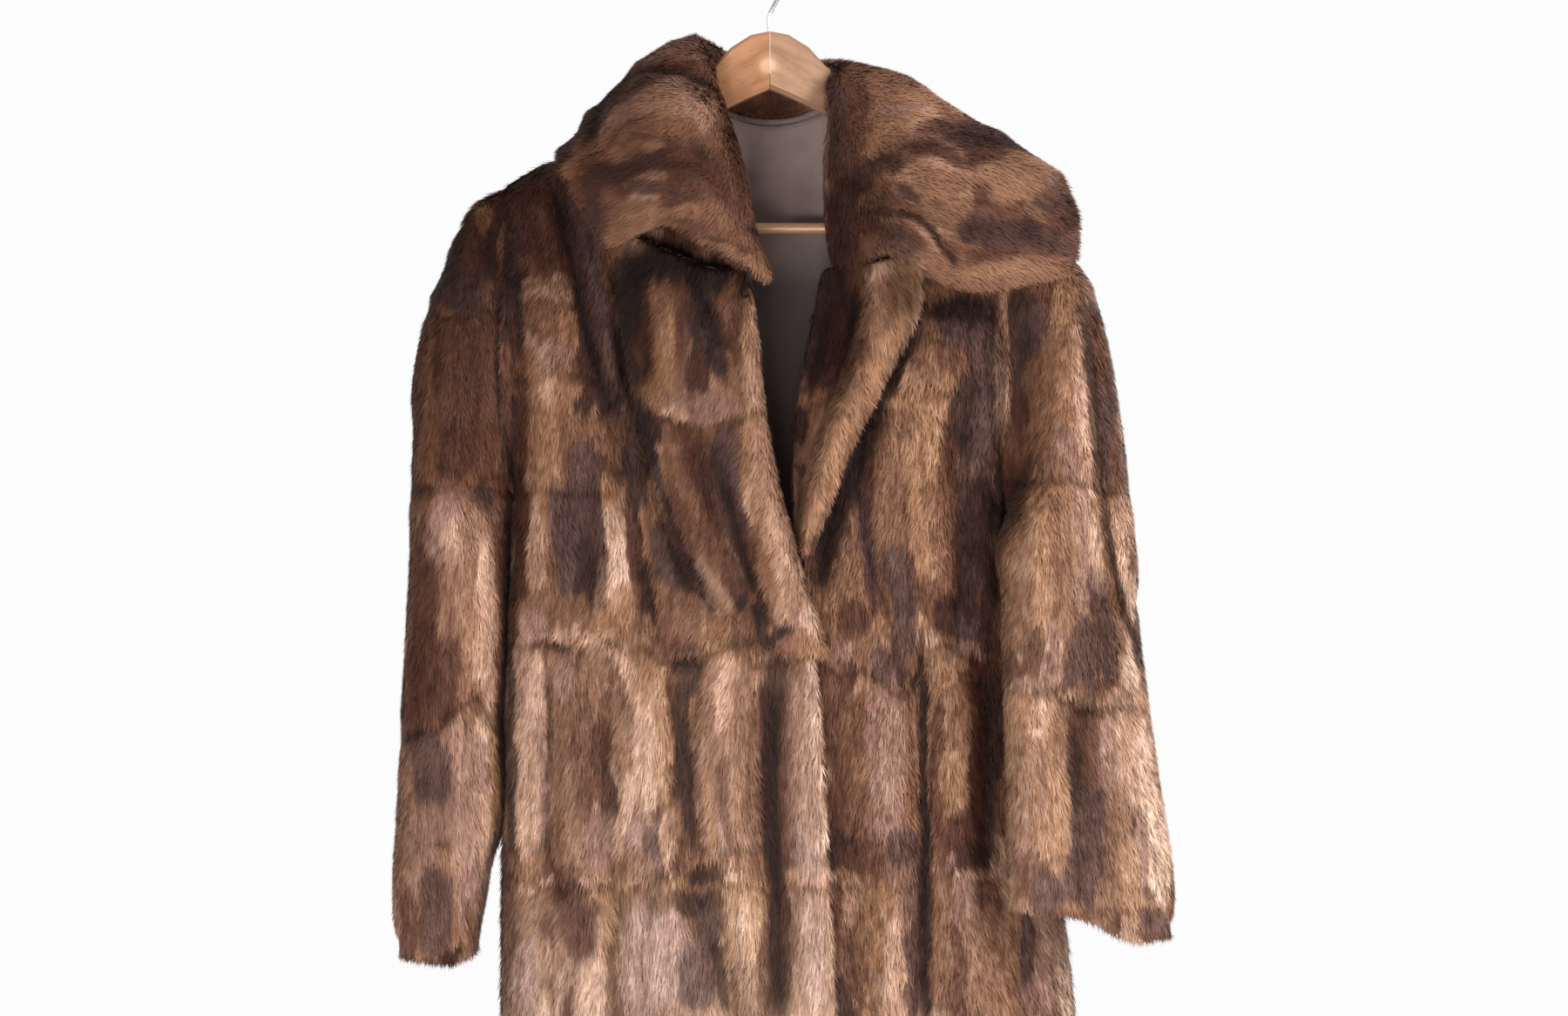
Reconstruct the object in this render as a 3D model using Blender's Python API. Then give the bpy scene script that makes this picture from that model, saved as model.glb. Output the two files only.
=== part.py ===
"""Fur coat hanging open-necked on a wooden hanger, as closed solids in metres.

+Z is up and the coat's front faces -Y. The origin is the point inside the hanger's hook that bears
on whatever carries it. "Right" and "left" are the wearer's, so the right front lies at -X.
Every cloth piece is a wall: a table gives its sections, a function turns them into rows of points on
the fur side, and wall() closes them with the hide side one thickness behind.
"""

import math
from collections import namedtuple

import bmesh
import bpy
from mathutils import Matrix, Vector

# Driving dimensions.
FUR = 0.006
SATIN = 0.0012
SEAM_GAP = 0.0003
LAYER_GAP = 0.0010
HEM_Z = -1.165
LINING_HEM_Z = -1.135
CHEST_Z = -0.450
SHOULDER_Z = -0.200
NECK_HALF = 0.070
NECK_BACK_Z = -0.139
NECK_DEPTH_SHARE = 0.80
OVERLAP_AIR = 0.0025
COLLAR_SEAM_GAP = 0.0012
BAR_Z = -0.2287
BAR_RADIUS = 0.0045
WIRE_RADIUS = 0.0017
HOOK_RADIUS = 0.0200
FUR_HOOK_RADIUS = 0.0011
ARMHOLE_SHARE = 0.86
SHOULDER_DROP = 0.66
SHOULDER_AT_NECK = -0.092
SHOULDER_SWEEP = 0.17
SHOULDER_Y = -0.012
ARMHOLE_X = 0.200
ARMHOLE_HALF_DEPTH = 0.050
HANGER_HALF = 0.044
ARM_CORNER = 0.45

# Numbers of strips: more of them only where the cloth turns.
HEM_ROWS = 12
YOKE_ROWS = 8
SHOULDER_STRIPS = 7
NECK_STRIPS = 6
FRONT_STRIPS = 14
SLEEVE_STRIPS = 16
FACING_STRIPS = 9
COLLAR_STRIPS = 10
HOOK_COLUMN = 5
COLLAR_CLEARANCE = 0.0025
COLLAR_CROWD = 1.4
LINING_MARGIN = 2

# The torso's sections. left and right are its outer edges, front and back its depths either side of y = 0.
Section = namedtuple("Section", "z left right front back")
TORSO = [
    Section(-1.165, -0.221, 0.264, 0.088, 0.070),
    Section(-0.863, -0.216, 0.246, 0.084, 0.065),
    Section(-0.780, -0.215, 0.236, 0.082, 0.063),
    Section(-0.640, -0.213, 0.208, 0.078, 0.061),
    Section(-0.540, -0.212, 0.197, 0.073, 0.059),
    Section(-0.490, -0.2115, 0.193, 0.071, 0.058),
    Section(-0.450, -0.2115, 0.188, 0.069, 0.057),
    Section(-0.320, -0.2115, 0.187, 0.064, 0.054),
    Section(-0.200, -0.2115, 0.187, 0.060, 0.052),
]
TORSO_POWER = 2.7

# Where each front ends towards the middle: a vertical edge below the break, the roll line above it.
Edge = namedtuple("Edge", "z x")
RIGHT_EDGE = [
    Edge(-1.165, 0.064),
    Edge(-0.863, 0.051),
    Edge(-0.712, 0.043),
    Edge(-0.575, 0.035),
    Edge(-0.538, 0.027),
    Edge(-0.500, 0.010),
    Edge(-0.452, -0.004),
    Edge(-0.400, -0.011),
    Edge(-0.345, -0.0175),
    Edge(-0.292, -0.017),
    Edge(-0.244, -0.029),
    Edge(-0.187, -0.038),
    Edge(-0.140, -0.052),
    Edge(-0.109, -0.070),
]
LEFT_EDGE = [
    Edge(-1.165, -0.040),
    Edge(-0.640, -0.036),
    Edge(-0.590, -0.020),
    Edge(-0.545, 0.004),
    Edge(-0.515, 0.024),
    Edge(-0.495, 0.037),
    Edge(-0.470, 0.034),
    Edge(-0.432, 0.039),
    Edge(-0.388, 0.052),
    Edge(-0.348, 0.065),
    Edge(-0.312, 0.075),
    Edge(-0.270, 0.080),
    Edge(-0.220, 0.066),
    Edge(-0.180, 0.058),
    Edge(-0.140, 0.061),
    Edge(-0.109, 0.070),
]

# Large folds that run down a panel. Positive push is a ridge, negative a trough, fading over soft metres.
Fold = namedtuple("Fold", "x_top z_top x_low z_low half push")
FRONT_FOLDS = [
    Fold(-0.178, -0.180, -0.138, -0.370, 0.014, -0.009),
    Fold(-0.152, -0.210, -0.118, -0.370, 0.016, 0.006),
    Fold(0.014, -0.590, 0.022, -1.165, 0.016, -0.008),
    Fold(0.036, -0.580, 0.048, -1.165, 0.016, 0.004),
    Fold(-0.178, -0.570, -0.176, -0.770, 0.016, -0.006),
    Fold(0.126, -0.560, 0.136, -1.165, 0.020, -0.008),
    Fold(-0.090, -0.780, -0.100, -1.165, 0.030, 0.007),
    Fold(0.180, -0.860, 0.196, -1.165, 0.026, 0.007),
]
BACK_FOLDS = [
    Fold(-0.130, -0.420, -0.150, -1.165, 0.026, 0.009),
    Fold(-0.050, -0.560, -0.066, -1.165, 0.030, -0.008),
    Fold(0.030, -0.360, 0.040, -1.165, 0.028, 0.008),
    Fold(0.110, -0.500, 0.130, -1.165, 0.028, -0.008),
    Fold(0.170, -0.640, 0.200, -1.165, 0.024, 0.007),
]
FOLD_FADE = 0.080

# Sleeve rings from armhole to cuff. o is the outer end of each ring, i its inner end beside the body;
# front and back are how far the ring bulges to either side of the line between them.
Ring = namedtuple("Ring", "ox oy oz ix iy iz front back")
RIGHT_SLEEVE = [
    Ring(-0.241, 0.012, -0.222, -0.2140, 0.000, -0.453, 0.056, 0.050),
    Ring(-0.259, 0.008, -0.256, -0.2145, 0.000, -0.457, 0.060, 0.052),
    Ring(-0.273, 0.004, -0.300, -0.2150, 0.000, -0.463, 0.063, 0.054),
    Ring(-0.284, 0.002, -0.360, -0.2155, 0.000, -0.473, 0.066, 0.057),
    Ring(-0.289, 0.000, -0.430, -0.2160, 0.000, -0.492, 0.068, 0.060),
    Ring(-0.292, 0.000, -0.505, -0.2170, 0.000, -0.530, 0.067, 0.061),
    Ring(-0.296, 0.000, -0.580, -0.2195, 0.000, -0.588, 0.065, 0.060),
    Ring(-0.299, 0.000, -0.655, -0.2195, 0.000, -0.652, 0.064, 0.058),
    Ring(-0.303, 0.000, -0.725, -0.2185, 0.000, -0.712, 0.063, 0.057),
    Ring(-0.304, 0.000, -0.780, -0.2270, 0.000, -0.768, 0.061, 0.056),
    Ring(-0.300, 0.000, -0.818, -0.2345, 0.000, -0.806, 0.059, 0.055),
]
LEFT_SLEEVE = [
    Ring(0.216, 0.010, -0.208, 0.1920, -0.003, -0.453, 0.062, 0.050),
    Ring(0.238, 0.008, -0.236, 0.1935, -0.007, -0.458, 0.066, 0.050),
    Ring(0.254, 0.006, -0.278, 0.1930, -0.016, -0.464, 0.070, 0.048),
    Ring(0.267, 0.004, -0.336, 0.1895, -0.031, -0.472, 0.072, 0.044),
    Ring(0.278, 0.002, -0.402, 0.1840, -0.047, -0.488, 0.066, 0.040),
    Ring(0.288, -0.002, -0.470, 0.1805, -0.061, -0.520, 0.056, 0.036),
    Ring(0.296, -0.010, -0.545, 0.1790, -0.069, -0.575, 0.047, 0.033),
    Ring(0.304, -0.020, -0.620, 0.1800, -0.075, -0.636, 0.041, 0.032),
    Ring(0.313, -0.030, -0.690, 0.1810, -0.079, -0.696, 0.037, 0.030),
    Ring(0.322, -0.038, -0.748, 0.1820, -0.082, -0.742, 0.034, 0.028),
    Ring(0.320, -0.042, -0.793, 0.1840, -0.085, -0.775, 0.031, 0.027),
]
CUFF_RINGS = 3
SLEEVE_FULLNESS = 0.85
SLEEVE_MIDDLE_Y = 0.004

# Lapel facings, from the collar down to the break. x_out is the free edge on the front, x_roll the roll,
# x_in the edge inside the coat; puff is how far the roll stands off the front, deep how far in the inner
# edge lies. z_out and z_roll let a row slant.
Facing = namedtuple("Facing", "x_out z_out x_roll z_roll x_in puff deep")
RIGHT_LAPEL = [
    Facing(-0.124, -0.232, -0.012, -0.270, -0.048, 0.012, 0.026),
    Facing(-0.119, -0.290, -0.006, -0.300, -0.046, 0.018, 0.028),
    Facing(-0.107, -0.360, -0.006, -0.345, -0.042, 0.021, 0.028),
    Facing(-0.094, -0.418, -0.001, -0.400, -0.034, 0.021, 0.026),
    Facing(-0.080, -0.462, 0.011, -0.452, -0.012, 0.020, 0.021),
    Facing(-0.066, -0.499, 0.025, -0.500, 0.020, 0.018, 0.005),
    Facing(-0.046, -0.529, 0.037, -0.538, 0.0365, 0.015, 0.004),
    Facing(-0.022, -0.547, 0.044, -0.566, 0.0435, 0.012, 0.003),
]
LEFT_LAPEL = [
    Facing(0.116, -0.250, 0.070, -0.265, 0.040, 0.010, 0.034),
    Facing(0.122, -0.288, 0.069, -0.290, 0.038, 0.014, 0.038),
    Facing(0.109, -0.318, 0.066, -0.312, 0.032, 0.017, 0.040),
    Facing(0.090, -0.352, 0.056, -0.348, 0.026, 0.018, 0.038),
    Facing(0.068, -0.388, 0.043, -0.388, 0.019, 0.017, 0.032),
    Facing(0.050, -0.434, 0.031, -0.432, 0.017, 0.014, 0.024),
    Facing(0.040, -0.464, 0.0235, -0.466, 0.019, 0.010, 0.014),
    Facing(0.034, -0.486, 0.0215, -0.488, 0.0190, 0.008, 0.007),
]
LAPEL_LIFT = 0.0025
FACING_SHARE = 0.85

# Collar sections from the right front end, round the back of the neck, to the left front end. seam and
# at say which edge and which of its rows or columns carries the section; in_x and in_y how far inside the
# coat it starts; t is the roll, m the crown of the fall and e its free edge.
Fall = namedtuple("Fall", "seam at in_x in_y tx ty tz mx my mz ex ey ez")
COLLAR = [
    Fall("right", 3, -0.001, 0.010, -0.002, -0.092, -0.278, -0.080, -0.110, -0.236, -0.126, -0.090, -0.259),
    Fall("right", 4, -0.001, 0.010, -0.008, -0.090, -0.226, -0.076, -0.112, -0.198, -0.142, -0.088, -0.222),
    Fall("right", 5, -0.001, 0.010, -0.022, -0.070, -0.164, -0.082, -0.100, -0.150, -0.160, -0.076, -0.196),
    Fall("right", 6, -0.002, 0.006, -0.034, -0.050, -0.126, -0.084, -0.074, -0.116, -0.167, -0.054, -0.180),
    Fall("right", 7, -0.001, 0.002, -0.048, -0.026, -0.096, -0.086, -0.042, -0.096, -0.168, -0.026, -0.168),
    Fall("back", 0, 0.0, 0.0, -0.060, 0.006, -0.080, -0.088, 0.004, -0.081, -0.166, 0.012, -0.162),
    Fall("back", 1, 0.0, 0.0, -0.047, 0.030, -0.084, -0.064, 0.056, -0.086, -0.120, 0.074, -0.160),
    Fall("back", 2, 0.0, 0.0, -0.023, 0.042, -0.096, -0.030, 0.070, -0.100, -0.052, 0.074, -0.188),
    Fall("back", 3, 0.0, 0.0, 0.000, 0.045, -0.100, 0.002, 0.074, -0.104, 0.004, 0.076, -0.198),
    Fall("back", 4, 0.0, 0.0, 0.023, 0.042, -0.098, 0.032, 0.068, -0.101, 0.066, 0.074, -0.188),
    Fall("back", 5, 0.0, 0.0, 0.047, 0.030, -0.091, 0.080, 0.054, -0.095, 0.148, 0.066, -0.164),
    Fall("back", 6, 0.0, 0.0, 0.066, 0.004, -0.094, 0.128, 0.012, -0.113, 0.212, 0.026, -0.170),
    Fall("left", 7, -0.002, 0.002, 0.070, -0.030, -0.105, 0.138, -0.038, -0.124, 0.232, -0.010, -0.186),
    Fall("left", 6, -0.004, 0.006, 0.066, -0.046, -0.130, 0.142, -0.072, -0.142, 0.246, -0.036, -0.206),
    Fall("left", 5, -0.008, 0.016, 0.070, -0.066, -0.168, 0.144, -0.098, -0.170, 0.248, -0.064, -0.224),
    Fall("left", 4, -0.014, 0.026, 0.084, -0.088, -0.214, 0.154, -0.113, -0.222, 0.248, -0.082, -0.245),
    Fall("left", 3, -0.024, 0.034, 0.088, -0.094, -0.252, 0.146, -0.113, -0.289, 0.241, -0.092, -0.270),
]

# What each kind of piece is made of.
Finish = namedtuple("Finish", "color roughness metallic")
PELT = Finish((0.20, 0.11, 0.06), 0.8, 0.0)
DARK_PELT = Finish((0.06, 0.04, 0.03), 0.8, 0.0)
LINING_SATIN = Finish((0.10, 0.08, 0.07), 0.45, 0.0)
BEECH = Finish((0.62, 0.38, 0.18), 0.5, 0.0)
STEEL = Finish((0.70, 0.70, 0.70), 0.25, 1.0)

# Hanger arm stations from the glued ridge outwards: top and lower edge, middle of the thickness, half of it.
Arm = namedtuple("Arm", "x top low y half")
HANGER_ARM = [
    Arm(0.0002, -0.0750, -0.1210, -0.0130, 0.0075),
    Arm(0.0150, -0.0775, -0.1270, -0.0105, 0.0075),
    Arm(0.0310, -0.0870, -0.1340, -0.0075, 0.0075),
    Arm(0.0440, -0.1010, -0.1400, -0.0050, 0.0070),
    Arm(0.0700, -0.1202, -0.1520, -0.0006, 0.0060),
    Arm(0.1100, -0.1466, -0.1760, 0.0061, 0.0056),
    Arm(0.1500, -0.1730, -0.2010, 0.0129, 0.0056),
    Arm(0.1680, -0.1849, -0.2150, 0.0160, 0.0056),
    Arm(0.1740, -0.1889, -0.2380, 0.0170, 0.0056),
    Arm(0.1880, -0.1980, -0.2400, 0.0190, 0.0056),
]
SOCKET_END = 0.1820


def clear_scene():
    for item in list(bpy.data.objects):
        bpy.data.objects.remove(item, do_unlink=True)


def collection_named(name):
    made = bpy.data.collections.new(name)
    bpy.context.scene.collection.children.link(made)
    return made


def material(name, finish):
    made = bpy.data.materials.new(name)
    made.use_nodes = True
    shader = made.node_tree.nodes["Principled BSDF"]
    shader.inputs["Base Color"].default_value = (*finish.color, 1.0)
    shader.inputs["Roughness"].default_value = finish.roughness
    shader.inputs["Metallic"].default_value = finish.metallic
    return made


def between(rows, at, column, key):
    """The table's column at a place along its key column, on a smooth curve that never overshoots its rows."""
    keys = [getattr(row, key) for row in rows]
    values = [getattr(row, column) for row in rows]
    if keys[0] > keys[-1]:
        keys.reverse()
        values.reverse()
    if at <= keys[0]:
        return values[0]
    if at >= keys[-1]:
        return values[-1]
    slopes = [(values[k + 1] - values[k]) / (keys[k + 1] - keys[k]) for k in range(len(keys) - 1)]
    span = next(k for k in range(len(slopes)) if at <= keys[k + 1])
    width = keys[span + 1] - keys[span]
    start = easy_slope(slopes, span)
    end = easy_slope(slopes, span + 1)
    t = (at - keys[span]) / width
    low = values[span] * (1 + 2 * t) * (1 - t) ** 2 + start * width * t * (1 - t) ** 2
    high = values[span + 1] * t * t * (3 - 2 * t) - end * width * t * t * (1 - t)
    return low + high


def easy_slope(slopes, knot):
    if knot == 0:
        return slopes[0]
    if knot == len(slopes):
        return slopes[-1]
    before, after = slopes[knot - 1], slopes[knot]
    if before * after <= 0:
        return 0.0
    return 2 * before * after / (before + after)


def ease(t):
    t = min(max(t, 0.0), 1.0)
    return t * t * (3 - 2 * t)


def shoulder_line(x):
    """Height of the shoulder seam's fur side."""
    return SHOULDER_AT_NECK - SHOULDER_DROP * (max(abs(x), NECK_HALF) - HANGER_HALF)


def shoulder_y(x):
    """The arms sweep back as they go out, and the shoulder seam follows them."""
    return SHOULDER_Y + SHOULDER_SWEEP * abs(x)


def fold_push(folds, x, z):
    total = 0.0
    for fold in folds:
        t = (fold.z_top - z) / (fold.z_top - fold.z_low)
        middle = fold.x_top + (fold.x_low - fold.x_top) * t
        fade = ease((fold.z_top + FOLD_FADE - z) / FOLD_FADE)
        if fold.z_low > HEM_Z:
            fade *= ease((z - fold.z_low + FOLD_FADE) / FOLD_FADE)
        total += fold.push * fade * math.exp(-(((x - middle) / fold.half) ** 2))
    return total


def armhole_share(up):
    """How far the armhole has opened: 0 at the underarm, and full before the shoulder blade."""
    t = min(max((up - 1.0) / 0.5, 0.0), 1.0)
    return ARMHOLE_SHARE * math.sqrt(1 - (1 - t) ** 2)


def section_shape(across, up):
    """Place on a torso section from -1 at the left edge to 1, and its share of the depth."""
    turn = math.pi * across / 2
    round_x = -math.copysign(abs(math.cos(turn)) ** (2 / TORSO_POWER), math.cos(turn))
    round_y = math.sin(turn) ** (2 / TORSO_POWER) if 0 < across < 2 else 0.0
    flat_x = across - 1
    flat_y = 1 - flat_x * flat_x
    flat = ease((up - 1.0) / 0.5)
    return round_x + (flat_x - round_x) * flat, round_y + (flat_y - round_y) * flat


def torso(side, across, up, lift=0.0):
    """A point of the torso's fur side. side is -1 for the fronts and 1 for the back. across runs from the
    -X edge at 0 to the +X edge at 2. up is 0 at the hem, 1 at the underarm and 2 at the shoulder seam."""
    yoke = max(up - 1.0, 0.0)
    level = HEM_Z + (CHEST_Z - HEM_Z) * up if up < 1 else CHEST_Z + (SHOULDER_Z - CHEST_Z) * yoke
    left = between(TORSO, level, "left", "z")
    right = between(TORSO, level, "right", "z")
    place, share = section_shape(across, up)
    x = (left + right) / 2 + place * (right - left) / 2
    z = level
    keep = 0.0
    if yoke > 0:
        top = shoulder_line(x)
        if side > 0 and abs(x) < NECK_HALF:
            hollow = 1 - (x / NECK_HALF) ** 2
            top += (NECK_BACK_Z - shoulder_line(0)) * hollow
            keep = NECK_DEPTH_SHARE * math.sqrt(hollow)
        z = CHEST_Z + (top - CHEST_Z) * yoke
    thinning = math.sqrt(1 - (1 - keep * keep) * min(yoke, 1.0) ** 3)
    depth = between(TORSO, level, "front" if side < 0 else "back", "z") * thinning
    opening = armhole_share(up) * depth
    folds = FRONT_FOLDS if side < 0 else BACK_FOLDS
    push = fold_push(folds, x, z) * min(share * 2, 1.0) * thinning
    y = shoulder_y(x) * yoke * yoke + side * (opening + (depth - opening) * share + push)
    return Vector((x, y - lift, z))


def solve_across(side, x, up):
    """Where on a section the torso reaches this x."""
    low, high = 0.0, 2.0
    for _ in range(40):
        middle = (low + high) / 2
        if torso(side, middle, up).x < x:
            low = middle
        else:
            high = middle
    return (low + high) / 2


def front_skin(x, z):
    """Y of the fronts' fur side at a place seen from the front."""
    if z < CHEST_Z:
        up = (z - HEM_Z) / (CHEST_Z - HEM_Z)
    else:
        up = 1 + min((z - CHEST_Z) / (shoulder_line(x) - CHEST_Z), 1.0)
    return torso(-1, solve_across(-1, x, up), up).y


def overlap_lift(x, z):
    """How far the right front is raised to pass over the left front."""
    return (FUR + OVERLAP_AIR) * ease((x + 0.110) / 0.050) * ease((-0.455 - z) / 0.045)


def armhole_ribbon(point, middle_y):
    """Outward direction across an armhole's seam: square to the armhole's oval, level with X."""
    middle_z = (CHEST_Z + SHOULDER_Z) / 2
    tall = (SHOULDER_Z - CHEST_Z) / 2
    wide = ARMHOLE_HALF_DEPTH
    return Vector((0, (point.y - middle_y) / wide**2, (point.z - middle_z) / tall**2)).normalized()


def grid_normals(points, round_way):
    """Direction square to the cloth at each point, from its neighbours along and across."""
    count = len(points[0])
    normals = []
    for r, row in enumerate(points):
        above = points[max(r - 1, 0)]
        below = points[min(r + 1, len(points) - 1)]
        line = []
        for c in range(count):
            if round_way:
                across = row[(c + 1) % count] - row[c - 1]
            else:
                across = row[min(c + 1, count - 1)] - row[max(c - 1, 0)]
            line.append(across.cross(below[c] - above[c]).normalized())
        normals.append(line)
    return normals


def wall(name, points, normals, thickness, finish, home, round_way=False):
    """Closes rows of fur-side points into a wall, with its hide side one thickness behind them."""
    shape = bmesh.new()
    fur = [[shape.verts.new(p) for p in row] for row in points]
    hide = [
        [shape.verts.new(p - n * thickness) for p, n in zip(row, directions)]
        for row, directions in zip(points, normals)
    ]
    rows = len(points)
    count = len(points[0])
    strips = count if round_way else count - 1
    for r in range(rows - 1):
        for c in range(strips):
            d = (c + 1) % count
            shape.faces.new((fur[r][c], fur[r][d], fur[r + 1][d], fur[r + 1][c]))
            shape.faces.new((hide[r][c], hide[r + 1][c], hide[r + 1][d], hide[r][d]))
    for c in range(strips):
        d = (c + 1) % count
        shape.faces.new((fur[0][c], hide[0][c], hide[0][d], fur[0][d]))
        shape.faces.new((fur[-1][c], fur[-1][d], hide[-1][d], hide[-1][c]))
    if not round_way:
        for r in range(rows - 1):
            shape.faces.new((fur[r][0], fur[r + 1][0], hide[r + 1][0], hide[r][0]))
            shape.faces.new((fur[r][-1], hide[r][-1], hide[r + 1][-1], fur[r + 1][-1]))
    bmesh.ops.recalc_face_normals(shape, faces=shape.faces)
    finished(name, shape, finish, home)


def finished(name, shape, finish, home):
    """The shape as an object with a material of its own."""
    mesh = bpy.data.meshes.new(name)
    shape.to_mesh(mesh)
    shape.free()
    mesh.shade_smooth()
    mesh.set_sharp_from_angle(angle=math.radians(50))
    mesh.materials.append(material(name, finish))
    made = bpy.data.objects.new(name, mesh)
    home.objects.link(made)
    return made


def torso_rows():
    """Row positions, closer together where the cloth rounds over the shoulder."""
    low = [1 - (1 - k / HEM_ROWS) ** 1.35 for k in range(HEM_ROWS)]
    high = [1 + math.sin(math.pi / 2 * k / YOKE_ROWS) for k in range(YOKE_ROWS + 1)]
    return low + high


def away_from_neck(point):
    """Level direction out of the neck opening."""
    return Vector((point.x, point.y, 0)).normalized()


def set_seam_ribbons(points, normals, rows, side, armhole_columns):
    """Seams between two pieces take one shared direction, so that both end faces lie on one ribbon."""
    for column in armhole_columns:
        outward = -1 if points[0][column].x < 0 else 1
        for r, up in enumerate(rows):
            if up < 1:
                normals[r][column] = Vector((outward, 0, 0))
            else:
                normals[r][column] = armhole_ribbon(points[r][column], shoulder_y(ARMHOLE_X) * (up - 1) ** 2)
    for c, point in enumerate(points[-1]):
        if side > 0 and abs(point.x) < NECK_HALF + SEAM_GAP:
            normals[-1][c] = away_from_neck(point)
        elif c in armhole_columns:
            normals[-1][c] = Vector((0, 0, 1))
        else:
            normals[-1][c] = Vector((math.copysign(SHOULDER_DROP, point.x), 0, 1)).normalized()


def nudge_from_seams(points, side, armhole_columns):
    """Half a seam gap back from the side and shoulder seams."""
    for column in armhole_columns:
        for row in points:
            row[column].y += side * SEAM_GAP / 2
    for point in points[-1]:
        point.y += side * SEAM_GAP / 2


def back_columns():
    """Places across the back, with a column at each end of the neck edge."""
    neck = [solve_across(1, x, 2.0) for x in (-NECK_HALF, NECK_HALF)]
    columns = [neck[0] * k / SHOULDER_STRIPS for k in range(SHOULDER_STRIPS)]
    columns += [neck[0] + (neck[1] - neck[0]) * k / NECK_STRIPS for k in range(NECK_STRIPS)]
    columns += [neck[1] + (2 - neck[1]) * k / SHOULDER_STRIPS for k in range(SHOULDER_STRIPS + 1)]
    return columns


def make_back(home):
    rows = torso_rows()
    columns = back_columns()
    last = len(columns) - 1
    points = [[torso(1, across, up) for across in columns] for up in rows]
    normals = [[-n for n in line] for line in grid_normals(points, False)]
    orient(points, normals, 1)
    set_seam_ribbons(points, normals, rows, 1, (0, last))
    nudge_from_seams(points, 1, (0, last))
    wall("back", points, normals, FUR, PELT, home)
    return points, normals


def orient(points, normals, side):
    """Turns the directions so that they point away from the inside of the coat."""
    middle = normals[len(normals) // 3][len(normals[0]) // 2]
    if middle.y * side < 0:
        for line in normals:
            for n in line:
                n.negate()


def make_front(name, edge, from_left, home):
    rows = torso_rows()
    points = []
    for up in rows:
        level = HEM_Z + (CHEST_Z - HEM_Z) * up
        if up > 1:
            level = CHEST_Z + (shoulder_line(NECK_HALF) - CHEST_Z) * (up - 1)
        stop = solve_across(-1, between(edge, level, "x", "z"), up)
        start = 0.0 if from_left else 2.0
        line = []
        for c in range(FRONT_STRIPS + 1):
            across = start + (stop - start) * c / FRONT_STRIPS
            point = torso(-1, across, up)
            if from_left:
                point.y -= overlap_lift(point.x, point.z)
            line.append(point)
        points.append(line)
    normals = grid_normals(points, False)
    orient(points, normals, -1)
    set_seam_ribbons(points, normals, rows, -1, (0,))
    nudge_from_seams(points, -1, (0,))
    wall(name, points, normals, FUR, PELT, home)
    return [row[-1] for row in points]


def armhole_oval(outward):
    """The armhole's points from the underarm, up its front edge, over the shoulder and down its back edge."""
    across = 0.0 if outward < 0 else 2.0
    half = SLEEVE_STRIPS // 2
    line = []
    for k in range(SLEEVE_STRIPS):
        side = -1 if k <= half else 1
        step = k if k <= half else SLEEVE_STRIPS - k
        yoke = (1 - math.cos(math.pi * step / half)) / 2
        line.append(torso(side, across, 1 + yoke))
    return line


def sleeve_ring(ring):
    """One ring of a sleeve: an oval between its inner and outer end, fuller at the front."""
    outer = Vector((ring.ox, ring.oy, ring.oz))
    inner = Vector((ring.ix, ring.iy, ring.iz))
    along = outer - inner
    forward = Vector((0, -1, 0))
    line = []
    for k in range(SLEEVE_STRIPS):
        turn = 2 * math.pi * k / SLEEVE_STRIPS
        bulge = ring.front if k <= SLEEVE_STRIPS // 2 else ring.back
        swell = math.copysign(abs(math.sin(turn)) ** SLEEVE_FULLNESS, math.sin(turn))
        line.append(inner + along * (1 - math.cos(turn)) / 2 + forward * bulge * swell)
    return line


def sleeve_rows(table, outward):
    """Rings from the armhole to the cuff, and their outward directions."""
    first = armhole_oval(outward)
    ribbons = [armhole_ribbon(p, SLEEVE_MIDDLE_Y) for p in first]
    points = [[p + Vector((outward * SEAM_GAP, 0, 0)) for p in first]]
    points += [sleeve_ring(ring) for ring in table]
    normals = grid_normals(points, True)
    middle = sum(points[-1], Vector()) / SLEEVE_STRIPS
    if normals[-1][0].dot(points[-1][0] - middle) < 0:
        normals = [[-n for n in line] for line in normals]
    normals[0] = ribbons
    return points, normals


def make_sleeve(name, cuff_name, table, outward, home):
    points, normals = sleeve_rows(table, outward)
    wall(name, points, normals, FUR, PELT, home, True)
    back_off = FUR + SEAM_GAP
    turned = [
        [p - n * back_off for p, n in zip(row, line)]
        for row, line in zip(points[-CUFF_RINGS:], normals[-CUFF_RINGS:])
    ]
    wall(cuff_name, turned, normals[-CUFF_RINGS:], FUR / 2, DARK_PELT, home, True)


def through(knots, count, crowd=1.0):
    """Points on a smooth curve through a few knots. crowd over 1 sets them closer together at its start."""
    ends = [knots[0] * 2 - knots[1]] + knots + [knots[-1] * 2 - knots[-2]]
    fine = []
    for k in range(1, len(ends) - 2):
        for step in range(12):
            t = step / 12
            a, b, c, d = ends[k - 1 : k + 3]
            fine.append(
                0.5 * (2 * b + (c - a) * t + (2 * a - 5 * b + 4 * c - d) * t**2 + (3 * b - a - 3 * c + d) * t**3)
            )
    fine.append(knots[-1])
    reach = [0.0]
    for before, after in zip(fine, fine[1:]):
        reach.append(reach[-1] + (after - before).length)
    line = []
    k = 0
    for step in range(count + 1):
        wanted = reach[-1] * (step / count) ** crowd
        while k < len(reach) - 2 and reach[k + 1] < wanted:
            k += 1
        t = (wanted - reach[k]) / (reach[k + 1] - reach[k])
        line.append(fine[k].lerp(fine[k + 1], min(t, 1.0)))
    return line


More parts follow.
